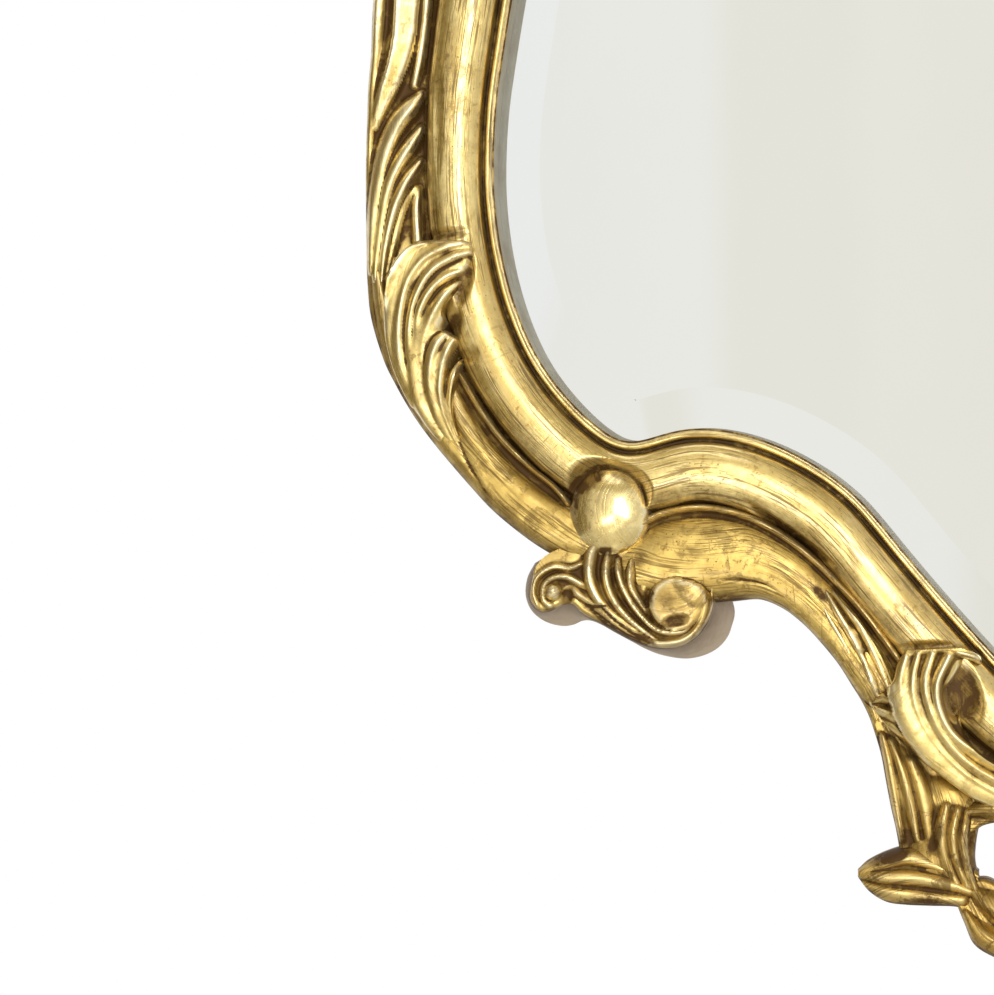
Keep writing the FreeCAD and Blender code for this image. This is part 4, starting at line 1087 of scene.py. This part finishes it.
APRON_LEAF = {
    "outline": [
        ((857, 870), (857, 878)), ((866, 862), (869, 893)), ((884, 853), (886, 903)),
        ((905, 847), (906, 906)), ((930, 846), (930, 907)), ((955, 854), (956, 908)),
        ((978, 872), (978, 914)),
    ],
    "strands": [
        (((858, 872, 3, 6), (884, 864, 6, 8.5), (908, 858, 7, 9.5), (936, 866, 6, 8),
          (952, 876, 4, 7)), -.2, 1.8),
        (((858, 875, 3, 6), (884, 877, 6.5, 10), (914, 878, 7, 10.5), (950, 885, 6, 8.5),
          (970, 892, 4, 7)), 0, 1.8),
        (((864, 885, 4, 5.5), (888, 892, 6, 8), (925, 897, 6.5, 7.5), (962, 901, 5, 7)), .2, 1.8),
    ],
    # Patches of painted shade
    "shade_patches": [
        ((890, 858), (30, 9), -18, .95), ((935, 856), (20, 10), 20, .8), ((870, 893), (16, 6), 25, .7),
        ((930, 902), (34, 5), 2, .7),
    ],
    "ground": 3.5, "rounded": {"left": 6, "right": 6, "start": 4}, "foot": -14.4, "level": 7.0,
    "web": (2.2, .8), "fuller": (1.15, .4), "root": .65,
}
APRON_BAR = {
    "step": 1.9,
    "outline": [
        ((957, 908), (962, 884)), ((964, 925), (985, 879)), ((973, 945), (1008, 891)),
        ((990, 957), (1030, 900)), ((1022, 970), (1050, 900)), ((1058, 984), (1072, 891)),
        ((1090, 1002), (1086, 868)), ((1116, 1022), (1108, 860)), ((1138, 1036), (1136, 856)),
        ((1162, 1041), (1162, 854)),
    ],
    "strands": [
        (((966, 915, 4, 6), (980, 935, 8, 9), (1010, 952, 9, 10), (1050, 967, 9, 10), (1090, 990, 8, 9),
          (1118, 1012, 5, 7)), .2, 1.8),
        (((975, 893, 5, 7), (992, 905, 8, 10), (1020, 925, 9, 10.5), (1056, 938, 9, 10),
          (1090, 955, 8, 9), (1112, 985, 5, 8)), -.2, 1.8),
        (((1082, 880, 5, 8), (1080, 905, 8, 10.5), (1092, 940, 9, 10.5), (1108, 980, 7, 9),
          (1124, 1014, 4, 7)), .3, 1.8),
    ],
    "ground": 4.0, "rounded": {"left": 6, "right": 5, "start": 3}, "foot": -14.1, "level": 8.0,
    **APRON_FORM,
}
APRON_ARCH = {
    "step": 1.8,
    "outline": [
        ((962, 790), (968, 838)), ((985, 790), (984, 826)), ((1010, 790), (1010, 823)),
        ((1038, 790), (1036, 828)), ((1062, 788), (1062, 838)), ((1086, 786), (1080, 858)),
        ((1108, 784), (1090, 880)), ((1132, 782), (1112, 905)), ((1162, 780), (1150, 910)),
    ],
    "strands": [
        (((968, 812, 4, 7), (990, 808, 7, 9.5), (1030, 812, 9, 10.5), (1068, 828, 9, 10.5),
          (1092, 858, 8, 10), (1104, 890, 5, 8)), -.2, 1.8),
        (((1020, 798, 5, 8), (1060, 802, 8, 10), (1096, 822, 9, 10.5), (1112, 855, 8, 10),
          (1120, 895, 5, 8)), -.2, 1.8),
    ],
    "ground": 4.0, "rounded": {"right": 5}, "foot": -13.8, "level": 8.0, **APRON_FORM,
}
APRON_SHELL = {
    "outline": [
        ((1118, 772), (1162, 768)), ((1108, 810), (1162, 808)), ((1102, 860), (1162, 860)),
        ((1098, 910), (1162, 910)), ((1096, 960), (1162, 960)), ((1108, 1000), (1162, 1004)),
        ((1130, 1030), (1162, 1036)), ((1154, 1042), (1162, 1046)),
    ],
    "strands": [
        (((1155, 776, 7, 15), (1155, 820, 11, 18), (1155, 880, 13, 19.5), (1155, 950, 12, 18),
          (1155, 1040, 4, 9)), 0, 1.8),
        (((1140, 780, 5, 13), (1135, 825, 9, 16), (1131, 880, 11, 17.5), (1131, 945, 10, 15.5),
          (1143, 1028, 4, 8)), .2, 1.8),
        (((1126, 786, 4, 11), (1118, 830, 8, 13.5), (1110, 880, 9, 14.5), (1108, 935, 9, 13),
          (1118, 985, 6, 10), (1130, 1020, 3, 7)), .2, 1.8),
    ],
    "ground": 6.0, "rounded": {"left": 6, "start": 4, "end": 4}, "foot": -13.5, "level": 13.0,
    **APRON_FORM,
}
CREST_PLUME = {
    "outline": [
        ((1096, 975), (1162, 975)), ((1094, 1005), (1162, 1005)), ((1097, 1035), (1162, 1035)),
        ((1104, 1064), (1162, 1062)), ((1120, 1088), (1162, 1088)), ((1138, 1106), (1162, 1108)),
        ((1152, 1118), (1162, 1120)),
    ],
    "strands": [
        (((1155, 980, 9, 15), (1155, 1030, 13, 17), (1155, 1075, 10, 14), (1155, 1114, 4, 8)), 0, 1.8),
        (((1134, 985, 8, 11), (1130, 1020, 11, 13.5), (1132, 1060, 8, 11.5),
          (1140, 1096, 3, 7)), .2, 1.8),
        (((1112, 985, 7, 9), (1108, 1015, 9, 11), (1110, 1045, 6, 9), (1118, 1076, 3, 6)), .2, 1.8),
    ],
    "ground": 5.0, "rounded": {"left": 6, "end": 4}, "foot": -13.2, "level": 11.0, **APRON_FORM,
}


# Materials. Every finish is wired with the short names of this bench.

class Bench:
    """Places and wires nodes in one tree."""

    def __init__(self, tree):
        self.tree = tree

    def feed(self, socket, source):
        """Links a socket of another node, or sets a plain value."""
        if isinstance(source, bpy.types.NodeSocket):
            self.tree.links.new(source, socket)
        elif source is not None:
            socket.default_value = source

    def fill(self, node, feeds):
        """Links or sets several sockets of a node."""
        for socket, source in feeds.items():
            self.feed(node.inputs[socket], source)

    def put(self, kind, feeds=None, **settings):
        """New shader node with its settings made and its sockets fed."""
        node = self.tree.nodes.new("ShaderNode" + kind)
        for key, value in settings.items():
            setattr(node, key, value)
        self.fill(node, feeds or {})
        return node

    def sums(self, operation, a, b=None, clamp=False):
        """One operation on two numbers."""
        return self.put("Math", {0: a, 1: b}, operation=operation, use_clamp=clamp).outputs[0]

    def weighted(self, a, share_a, b, share_b):
        """a * share_a + b * share_b."""
        return self.sums("ADD", self.sums("MULTIPLY", a, share_a), self.sums("MULTIPLY", b, share_b))

    def stretched(self, vector, scale):
        """The vector with each part times its own scale."""
        return self.put("VectorMath", {0: vector, 1: scale}, operation="MULTIPLY").outputs[0]

    def noise(self, vector, scale, detail=3.0, roughness=.55, distortion=0.0):
        """Cloudy noise about one half; scale is in waves per metre."""
        return self.put("TexNoise", {
            "Vector": vector, "Scale": scale, "Detail": detail, "Roughness": roughness,
            "Distortion": distortion}).outputs["Fac"]

    def step(self, value, low, high, bottom=0.0, top=1.0):
        """Smooth step from bottom to top as the value goes from low to high."""
        return self.put("MapRange", {
            "Value": value, "From Min": low, "From Max": high, "To Min": bottom, "To Max": top},
            interpolation_type="SMOOTHSTEP").outputs["Result"]

    def blend(self, share, a, b):
        """Colour between a and b."""
        return self.put("Mix", {0: share, 6: a, 7: b}, data_type="RGBA").outputs[2]

    def mixed(self, share, a, b):
        """Number between a and b."""
        return self.put("Mix", {0: share, 2: a, 3: b}, data_type="FLOAT").outputs[0]

    def larger(self, a, b):
        """The larger of two masks."""
        return self.sums("MAXIMUM", a, b)

    def times(self, a, b):
        """Product of two masks, kept between 0 and 1."""
        return self.sums("MULTIPLY", a, b, clamp=True)

    def layer(self, name, kind="Fac"):
        """Point layer of the mesh, as its piece stores it."""
        return self.put("Attribute", attribute_name=name).outputs[kind]

    def place(self):
        """Place on the object, in metres."""
        return self.put("TexCoord").outputs["Object"]


def group(name, inputs, outputs, wire):
    """Node group with named sockets: each row is a name, a kind and a starting value."""
    tree = bpy.data.node_groups.new(name, "ShaderNodeTree")
    for label, kind, start in inputs:
        socket = tree.interface.new_socket(label, in_out="INPUT", socket_type="NodeSocket" + kind)
        if start is not None:
            socket.default_value = start
    for label, kind in outputs:
        tree.interface.new_socket(label, in_out="OUTPUT", socket_type="NodeSocket" + kind)
    entry = tree.nodes.new("NodeGroupInput")
    leave = tree.nodes.new("NodeGroupOutput")
    for label, result in wire(Bench(tree), entry.outputs).items():
        tree.links.new(result, leave.inputs[label])
    return tree


def wire_gilding(bench, given):
    """Gold leaf over dark bole: tone patches, long scratches with the flow, hair cracks across it, pin
    holes, brown toning and ragged bare bole in the recesses, patches of patina, rubbed crests and painted
    side walls. The brown toning is partly an old finish and partly painted shade in the hollows, cuts and
    at rounded edges. The coat is absent wherever the gold is dull."""
    place, flow, recess, crest = given["Place"], given["Flow"], given["Recess"], given["Crest"]
    broad = bench.noise(place, 16, 3)
    middle = bench.noise(place, 75, 4, .6)
    fine = bench.noise(place, 420, 3, .6)
    tone = bench.weighted(broad, .5, middle, .5)
    leaf = bench.blend(bench.step(tone, .38, .62), given["Gold"], given["Deep gold"])
    leaf = bench.blend(bench.times(bench.step(fine, .42, .66), .45), leaf, given["Deep gold"])
    leaf = bench.blend(bench.times(bench.step(crest, .12, .7), .75), leaf, given["Rubbed gold"])
    long_lines = bench.step(bench.noise(bench.stretched(flow, (30, 950, 40)), 1, 2, .5), .54, .61)
    short_lines = bench.step(bench.noise(bench.stretched(flow, (80, 1900, 90)), 1, 2, .5), .54, .63)
    patch = bench.step(bench.noise(bench.stretched(flow, (22, 95, 30)), 1, 3), .38, .56)
    reach = bench.sums("ADD", patch, bench.sums("MULTIPLY", recess, .8), clamp=True)
    lines = bench.times(bench.larger(bench.times(long_lines, .9), bench.times(short_lines, .65)), reach)
    hair = bench.step(bench.noise(bench.stretched(flow, (900, 45, 60)), 1, 2), .64, .70)
    hair = bench.times(hair, bench.step(bench.noise(place, 34, 2), .50, .66))
    pits = bench.put("TexVoronoi", {"Vector": place, "Scale": 480.0, "Randomness": 1.0}).outputs["Distance"]
    pits = bench.times(bench.step(pits, .20, .10), bench.step(bench.noise(place, 60, 2), .52, .62))
    speck = bench.times(bench.step(bench.weighted(fine, .55, middle, .45), .565, .64), .5)
    marks = bench.larger(lines, bench.larger(bench.times(hair, .6), bench.times(pits, .8)))
    marks = bench.larger(bench.times(marks, given["Scratches"]), speck)
    patchy = bench.noise(place, 95, 5, .72, .5)
    ragged = bench.weighted(middle, .5, patchy, 1.1)
    ragged = bench.sums("ADD", recess, bench.sums("SUBTRACT", ragged, .8))
    # Brown toning in the recesses: partly an old finish, partly painted shade
    wash_and_shade = bench.times(bench.step(ragged, .12, .74), given["Wash and shade"])
    bare = bench.times(bench.step(ragged, .46, .72), bench.step(patchy, .42, .52))
    patina = bench.sums("ADD", patchy, bench.sums("MULTIPLY", recess, .12))
    wash_and_shade = bench.larger(wash_and_shade, bench.times(bench.step(patina, .535, .60), given["Patina"]))
    worn = bench.weighted(crest, .5, middle, .5)
    bare = bench.larger(bare, bench.times(bench.step(worn, .79, .90), given["Rubbing"]))
    colour = bench.blend(bench.times(marks, .85), leaf, given["Dirt and shade"])
    # The recess toning darkens the colour towards the dark brown: partly painted shade
    colour = bench.blend(bench.times(wash_and_shade, .9), colour, given["Dirt and shade"])
    colour = bench.blend(bench.times(bare, .85), colour, given["Bole"])
    side = bench.step(given["Wall"], .35, .65)
    dirt_and_painted_shade = bench.blend(.35, given["Paint"], given["Dirt and shade"])
    paint = bench.blend(bench.step(middle, .3, .7), given["Paint"], dirt_and_painted_shade)
    colour = bench.blend(side, colour, paint)
    dull = bench.larger(bench.times(wash_and_shade, .6), bench.larger(bench.times(marks, .4), bench.times(bare, .75)))
    metal = bench.sums("SUBTRACT", 1.0, bench.larger(dull, side), clamp=True)
    uneven = bench.weighted(bench.sums("SUBTRACT", middle, .5), .18, dull, .25)
    rough = bench.sums("ADD", given["Polish"], uneven)
    rough = bench.mixed(side, rough, .72)
    covered = bench.sums("MULTIPLY", bench.larger(dull, side), 1.7)
    coat = bench.times(bench.sums("SUBTRACT", 1.0, covered, clamp=True), given["Gloss"])
    beaten = bench.weighted(bench.noise(place, 48, 2), 1.3, bench.noise(place, 130, 3), .7)
    dents = bench.sums("MULTIPLY", bench.larger(marks, bench.times(bare, .8)), .5)
    height = bench.sums("SUBTRACT", beaten, dents)
    return {"Colour": colour, "Roughness": rough, "Metal": metal, "Coat": coat, "Height": height}


def gilding_group():
    """The gilding as one group, with the carved gold's own tones as starting values."""
    return group("gilding", [
        ("Place", "Vector", None), ("Flow", "Vector", None), ("Recess", "Float", 0.0),
        ("Crest", "Float", 0.0), ("Wall", "Float", 0.0), ("Scratches", "Float", 1.0),
        ("Wash and shade", "Float", 1.0), ("Rubbing", "Float", 1.0), ("Polish", "Float", .3), ("Gloss", "Float", .6),
        ("Patina", "Float", .25), ("Gold", "Color", (.79, .60, .21, 1)),
        ("Deep gold", "Color", (.58, .405, .105, 1)), ("Rubbed gold", "Color", (.95, .83, .50, 1)),
        ("Dirt and shade", "Color", (.14, .078, .016, 1)), ("Bole", "Color", (.058, .0245, .0055, 1)),
        ("Paint", "Color", (.47, .36, .25, 1)),
    ], [
        ("Colour", "Color"), ("Roughness", "Float"), ("Metal", "Float"), ("Coat", "Float"),
        ("Height", "Float"),
    ], wire_gilding)


def bare_material(name):
    """New material with an empty node tree, and the bench that wires it."""
    material = bpy.data.materials.new(name)
    material.use_nodes = True
    material.node_tree.nodes.clear()
    return material, Bench(material.node_tree)


def material_of(name):
    """New material with a Principled shader, and the bench that wires it."""
    material, bench = bare_material(name)
    surface = bench.put("BsdfPrincipled")
    bench.put("OutputMaterial", {0: surface.outputs[0]})
    return material, bench, surface


def embossed(bench, height, distance):
    """Normal of a surface with fine relief: height 1 stands distance metres over height 0."""
    return bench.put("Bump", {"Height": height, "Distance": distance, "Strength": 1.0}).outputs["Normal"]


def gilt(name, gilding, values, coat_roughness, grain):
    """Gilded finish: the gilding group with its own values for this piece."""
    material, bench, surface = material_of(name)
    made = bench.put("Group", {
        "Place": bench.place(), "Flow": bench.layer("flow", "Vector"), "Recess": bench.layer("recess"),
        "Crest": bench.layer("crest"), "Wall": bench.layer("wall"), **values}, node_tree=gilding).outputs
    bench.fill(surface, {
        "Base Color": made["Colour"], "Roughness": made["Roughness"], "Metallic": made["Metal"],
        "Coat Weight": made["Coat"], "Coat Roughness": coat_roughness, "Coat IOR": 1.7,
        "Specular IOR Level": .2, "Normal": embossed(bench, made["Height"], grain)})
    return material


def wire_speckle(bench, given):
    """Two tones mixed by grain stretched along one axis, and darker spots of dirt."""
    drawn = bench.stretched(given["Place"], given["Stretch"])
    grain = bench.noise(drawn, 1.0, 5, .65, .6)
    fine = bench.noise(drawn, 6.0, 3, .6)
    spots = bench.step(bench.noise(given["Place"], 42, 4, .7), .56, .72)
    share = bench.weighted(grain, .75, fine, .25)
    colour = bench.blend(bench.step(share, .38, .62), given["Light tone"], given["Dark tone"])
    colour = bench.blend(bench.times(spots, given["Soiling"]), colour, given["Soil"])
    uneven = bench.sums("MULTIPLY", bench.sums("SUBTRACT", share, .5), .25)
    rough = bench.sums("ADD", given["Roughness"], uneven)
    return {"Colour": colour, "Roughness": rough, "Height": share, "Spots": spots}


SOIL = (.06, .045, .03)


def speckle_group():
    """The grain and soil as one group."""
    return group("grain_and_soil", [
        ("Place", "Vector", None), ("Stretch", "Vector", (60, 60, 60)),
        ("Light tone", "Color", (.5, .4, .3, 1)), ("Dark tone", "Color", (.3, .2, .1, 1)),
        ("Soil", "Color", (*SOIL, 1)), ("Soiling", "Float", .4), ("Roughness", "Float", .6),
    ], [
        ("Colour", "Color"), ("Roughness", "Float"), ("Height", "Float"), ("Spots", "Float"),
    ], wire_speckle)


def grained_parts(name, speckle, light, dark, stretch, roughness, soiling, soil=SOIL, metal=0.0,
                  relief=.0001):
    """Wood, board, metal or rubber finish: the speckle group with its own tones and stretch. Returns the
    material, its bench, its shader and the colour that the shader shows."""
    material, bench, surface = material_of(name)
    made = bench.put("Group", {
        "Place": bench.place(), "Stretch": stretch, "Light tone": (*light, 1), "Dark tone": (*dark, 1),
        "Soil": (*soil, 1), "Soiling": soiling, "Roughness": roughness}, node_tree=speckle).outputs
    bench.fill(surface, {"Base Color": made["Colour"], "Roughness": made["Roughness"],
                         "Normal": embossed(bench, made["Height"], relief)})
    if metal:
        dull = bench.sums("MULTIPLY", made["Spots"], -.6)
        bench.feed(surface.inputs["Metallic"], bench.sums("ADD", dull, metal, clamp=True))
    return material, bench, surface, made["Colour"]


def grained(*values, **others):
    """Material that grained_parts makes."""
    return grained_parts(*values, **others)[0]


def side_paint(speckle):
    """Beige paint with dirt on the members' sides, with painted shade close under the carving; bare wood on
    their backs."""
    material, bench, surface, paint = grained_parts(
        "side_paint", speckle, (.50, .40, .29), (.39, .30, .205), (35, 35, 35), .66, .55, (.11, .065, .035))
    wood = bench.put("Group", {
        "Place": bench.layer("flow", "Vector"), "Stretch": (14, 330, 330),
        "Light tone": (.40, .255, .13, 1), "Dark tone": (.23, .125, .055, 1), "Soiling": .35,
        "Roughness": .7}, node_tree=speckle).outputs
    colour = bench.blend(bench.layer("raw"), paint, wood["Colour"])
    # Painted shade: the paint goes dark brown where the layer shade marks it close under the carving
    dirt_and_painted_shade = bench.blend(bench.times(bench.layer("shade"), .75), colour, (.13, .085, .05, 1))
    bench.feed(surface.inputs["Base Color"], dirt_and_painted_shade)
    return material


def silvered_glass():
    """Mirror: silver behind glass, with faint smears in its polish and grey paint on its back."""
    material, bench, surface = material_of("silvered_glass")
    place = bench.place()
    smear = bench.noise(bench.stretched(place, (7, 7, 2.5)), 1.0, 5, .6, .4)
    back = bench.step(bench.layer("backing"), .75, .95)
    tone = bench.blend(bench.step(smear, .35, .70), (.835, .850, .835, 1), (.815, .828, .812, 1))
    rough = bench.step(smear, .50, .80, .012, .035)
    bench.fill(surface, {
        "Base Color": bench.blend(back, tone, (.16, .13, .11, 1)),
        "Metallic": bench.sums("SUBTRACT", 1.0, back),
        "Roughness": bench.larger(rough, bench.times(back, .6))})
    return material


# Room, floor and lamps

def panel(name, corners, colour, parts=(), soft=.035, axis=0):
    """Flat board of the room that reflections see and the camera doesn't. parts gives the places along one
    axis where its colour changes, softly, and the colour after each."""
    mesh = bpy.data.meshes.new(name)
    mesh.from_pydata(corners, [], [(0, 1, 2, 3)])
    material, bench = bare_material(name)
    tone = (*colour, 1)
    for at, after in parts:
        across = bench.put("SeparateXYZ", {0: bench.place()}).outputs[axis]
        tone = bench.blend(bench.step(across, at - soft, at + soft), tone, (*after, 1))
    glow = bench.put("Emission", {"Color": tone, "Strength": 1.0}).outputs[0]
    bench.put("OutputMaterial", {0: glow})
    mesh.materials.append(material)
    sheet = into_scene(name, mesh)
    sheet.visible_camera = False


def floor(height, radius):
    """Pale round floor under the hanging mirror, fading into the white at its edge."""
    sides = 96
    a = np.linspace(0, 2 * math.pi, sides, endpoint=False)
    rim = np.stack([np.cos(a) * radius, np.sin(a) * radius, np.full(sides, height)], axis=1)
    mesh = bpy.data.meshes.new("floor")
    mesh.from_pydata(rim.tolist(), [], [tuple(range(sides))])
    material, bench, surface = material_of("pale_floor")
    place = bench.place()
    flat = bench.stretched(place, (1, 1, 0))
    away = bench.put("VectorMath", {0: flat}, operation="LENGTH").outputs["Value"]
    cloud = bench.step(bench.noise(place, 3), .3, .7)
    bench.fill(surface, {
        "Base Color": bench.blend(cloud, (.86, .86, .85, 1), (.84, .84, .83, 1)), "Roughness": .9,
        "Alpha": bench.step(away, radius * .95, radius * .35)})
    mesh.materials.append(material)
    ground = into_scene("floor", mesh)


def room():
    """White surroundings for the camera and for reflections, a plain even light for everything else."""
    world = bpy.data.worlds.new("room")
    bpy.context.scene.world = world
    world.use_nodes = True
    world.node_tree.nodes.clear()
    bench = Bench(world.node_tree)
    path = bench.put("LightPath").outputs
    straight = bench.sums("ADD", path["Is Camera Ray"], path["Is Glossy Ray"])
    straight = bench.sums("ADD", straight, path["Is Transmission Ray"], clamp=True)
    even = bench.put("Background", {"Color": (.95, .94, .90, 1), "Strength": .62}).outputs[0]
    white = bench.put("Background", {"Color": (1, 1, 1, 1), "Strength": 1.0}).outputs[0]
    both = bench.put("MixShader", {0: straight, 1: even, 2: white}).outputs[0]
    bench.put("OutputWorld", {0: both})


def lamp(name, place, target, width, height, power):
    """Rectangular lamp that looks from its place to the target; power is in watts."""
    data = bpy.data.lights.new(name, "AREA")
    data.shape = "RECTANGLE"
    data.size, data.size_y = width, height
    data.energy = power
    seat = into_scene(name, data)
    seat.location = place
    seat.rotation_euler = (Vector(target) - Vector(place)).to_track_quat("-Z", "Y").to_euler()
    seat.visible_camera = False


def stage_and_lights():
    """The floor, the room's boards that give the gold something to show, and the lamps."""
    room()
    floor(-2.05, 4.0)
    left, right, near, far, low, high = -2.4, 2.4, 1.0, -3.4, -2.0, 2.1
    panel("room_wall", [(-2.3, far, low), (2.0, far, low), (2.0, far, 2.2), (-2.3, far, 2.2)],
          (1.0, 1.0, 1.0),
          [(-1.15, (.98, .96, .933)), (-.503, (.925, .906, .834)), (-.317, (.953, .924, .861))])
    panel("dim_ceiling", [(left, far, high), (right, far, high), (right, near, high), (left, near, high)],
          (.46, .40, .29))
    panel("dark_curtain", [(left, -3.0, low), (left, .6, low), (left, .6, 1.3), (left, -3.0, 1.3)],
          (1, 1, 1), [(-2.2, (.20, .155, .085))], .75, 1)
    lamp("window", (.46, -2.3, -.25), (-.1, 0, -.5), 1.1, 1.5, 25)
    lamp("ceiling", (-.3, -1.1, 1.7), (0, 0, -.4), 1.4, 1.0, 9)
    lamp("low_window", (-.42, -2.2, -1.32), (-.1, 0, -.6), 1.0, .5, 8)


camera()
stage_and_lights()
bpy.context.scene.view_settings.view_transform = "Standard"
gilding = gilding_group()
speckle = speckle_group()
materials = {
    "band": gilt("burnished_gold", gilding, {
        "Polish": .34, "Gloss": .9, "Patina": .2, "Gold": (.82, .64, .24, 1),
        "Deep gold": (.61, .425, .115, 1), "Paint": (.37, .35, .28, 1)}, .18, .00022),
    "gilt": gilt("carved_gold", gilding, {"Polish": .36, "Gloss": .7, "Scratches": .3}, .2, .0003),
    "ball": gilt("ball_gold", gilding, {
        "Polish": .25, "Gloss": 1.0, "Patina": .25, "Scratches": .5, "Gold": (.90, .74, .33, 1),
        "Deep gold": (.70, .52, .17, 1)}, .14, .00016),
    "clasp": gilt("clasp_gold", gilding, {
        "Polish": .37, "Gloss": .5, "Scratches": .5, "Patina": .6, "Gold": (.67, .48, .145, 1),
        "Deep gold": (.48, .32, .082, 1)}, .22, .0003),
    "scroll": gilt("scroll_gold", gilding, {
        "Polish": .42, "Gloss": .3, "Patina": .45, "Gold": (.66, .47, .13, 1),
        "Deep gold": (.47, .315, .076, 1), "Rubbed gold": (.82, .65, .31, 1)}, .24, .0003),
    "low": gilt("apron_gold", gilding, {
        "Polish": .44, "Gloss": .2, "Patina": .85, "Gold": (.64, .445, .122, 1),
        "Deep gold": (.45, .29, .07, 1), "Rubbed gold": (.78, .60, .25, 1)}, .26, .0003),
    "wall": side_paint(speckle),
}
mouldings(materials)
mirror_plate(silvered_glass())
bedding(grained("bedding_felt", speckle, (.055, .05, .045), (.03, .028, .026), (900, 900, 900), .92, .2))
for name, recipe, finish in (
        ("side_leaf", SIDE_LEAF, "gilt"), ("turnover_leaf", TURNOVER_LEAF, "gilt"),
        ("side_scroll", SIDE_SCROLL, "scroll"), ("base_scroll", BASE_SCROLL, "scroll"),
        ("base_leaf", BASE_LEAF, "gilt"), ("fluted_leaf", FLUTED_LEAF, "gilt"),
        ("boss", BOSS_PIECE, "ball"), ("clasp", CLASP, "clasp")):
    carved(name, recipe, FOUR_CORNERS, materials[finish])
sloping_side("clasp_side", CLASP_TOP_PX, CLASP_FOOT_PX, top_rise=3.8, foot_rise=-21.0, node="clasp",
             material=materials["wall"])
for name, recipe in (("post", APRON_POST), ("leaf", APRON_LEAF), ("lower_bar", APRON_BAR),
                     ("upper_bar", APRON_ARCH), ("shell", APRON_SHELL)):
    carved(name, recipe, BOTTOM_SIDES, materials["low"], "bottom_apron")
    carved(name, recipe, TOP_SIDES, materials["low"], "top_crest")
carved("plume", CREST_PLUME, TOP_SIDES, materials["low"], "top_crest")

board(grained("backing_board_wood", speckle, (.50, .34, .195), (.36, .225, .115), (300, 300, 11), .78, .3))
brass = dict(light=(.62, .44, .17), dark=(.47, .31, .10), soil=(.16, .09, .03), metal=1.0, relief=.00005)
screw_brass = grained("brass_screws", speckle, stretch=(220, 220, 220), roughness=.34, soiling=.4, **brass)
screw_zinc = grained("zinc_screws", speckle, (.58, .58, .57), (.45, .45, .44), (300, 300, 300), .34, .35,
                     (.12, .09, .06), 1.0, .00004)
slotted_screws("button_screws", "turn_button_screws", BUTTON_PIVOTS, head_radius=.004,
               shank_radius=.0019, rise=.0018, material=screw_brass)
slotted_screws("strap_screws", "hanger_screws", STRAP_SCREWS, head_radius=.0033, shank_radius=.00175,
               rise=.0012, material=screw_zinc)
zinc_rings = grained("zinc_rings", speckle, (.60, .60, .59), (.46, .46, .46), (250, 250, 250), .30, .4,
                     (.13, .09, .05), 1.0, .00004)
button_brass = grained("turn_button_brass", speckle, stretch=(60, 60, 900), roughness=.36, soiling=.55,
                       **brass)
finishes = {
    "corner_tenons": grained("beech", speckle, (.55, .38, .24), (.43, .28, .165), (260, 260, 22), .65, .15),
    "hanger_straps": grained("zinc_straps", speckle, (.55, .55, .54), (.41, .41, .41), (90, 90, 700), .38,
                             .5, (.14, .085, .045), 1.0, .00005),
    "left_hanger_ring": zinc_rings,
    "right_hanger_ring": zinc_rings,
    "wall_bumpers": grained("bumper_rubber", speckle, (.035, .033, .031), (.022, .021, .02),
                            (700, 700, 700), .68, .5, (.14, .13, .115), 0.0, .00008),
}
for name in ("lower_left", "lower_right", "upper_left", "upper_right", "bottom", "top"):
    finishes["turn_button_" + name] = button_brass
for name, material in finishes.items():
    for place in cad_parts[name].material_slots:
        place.material = material
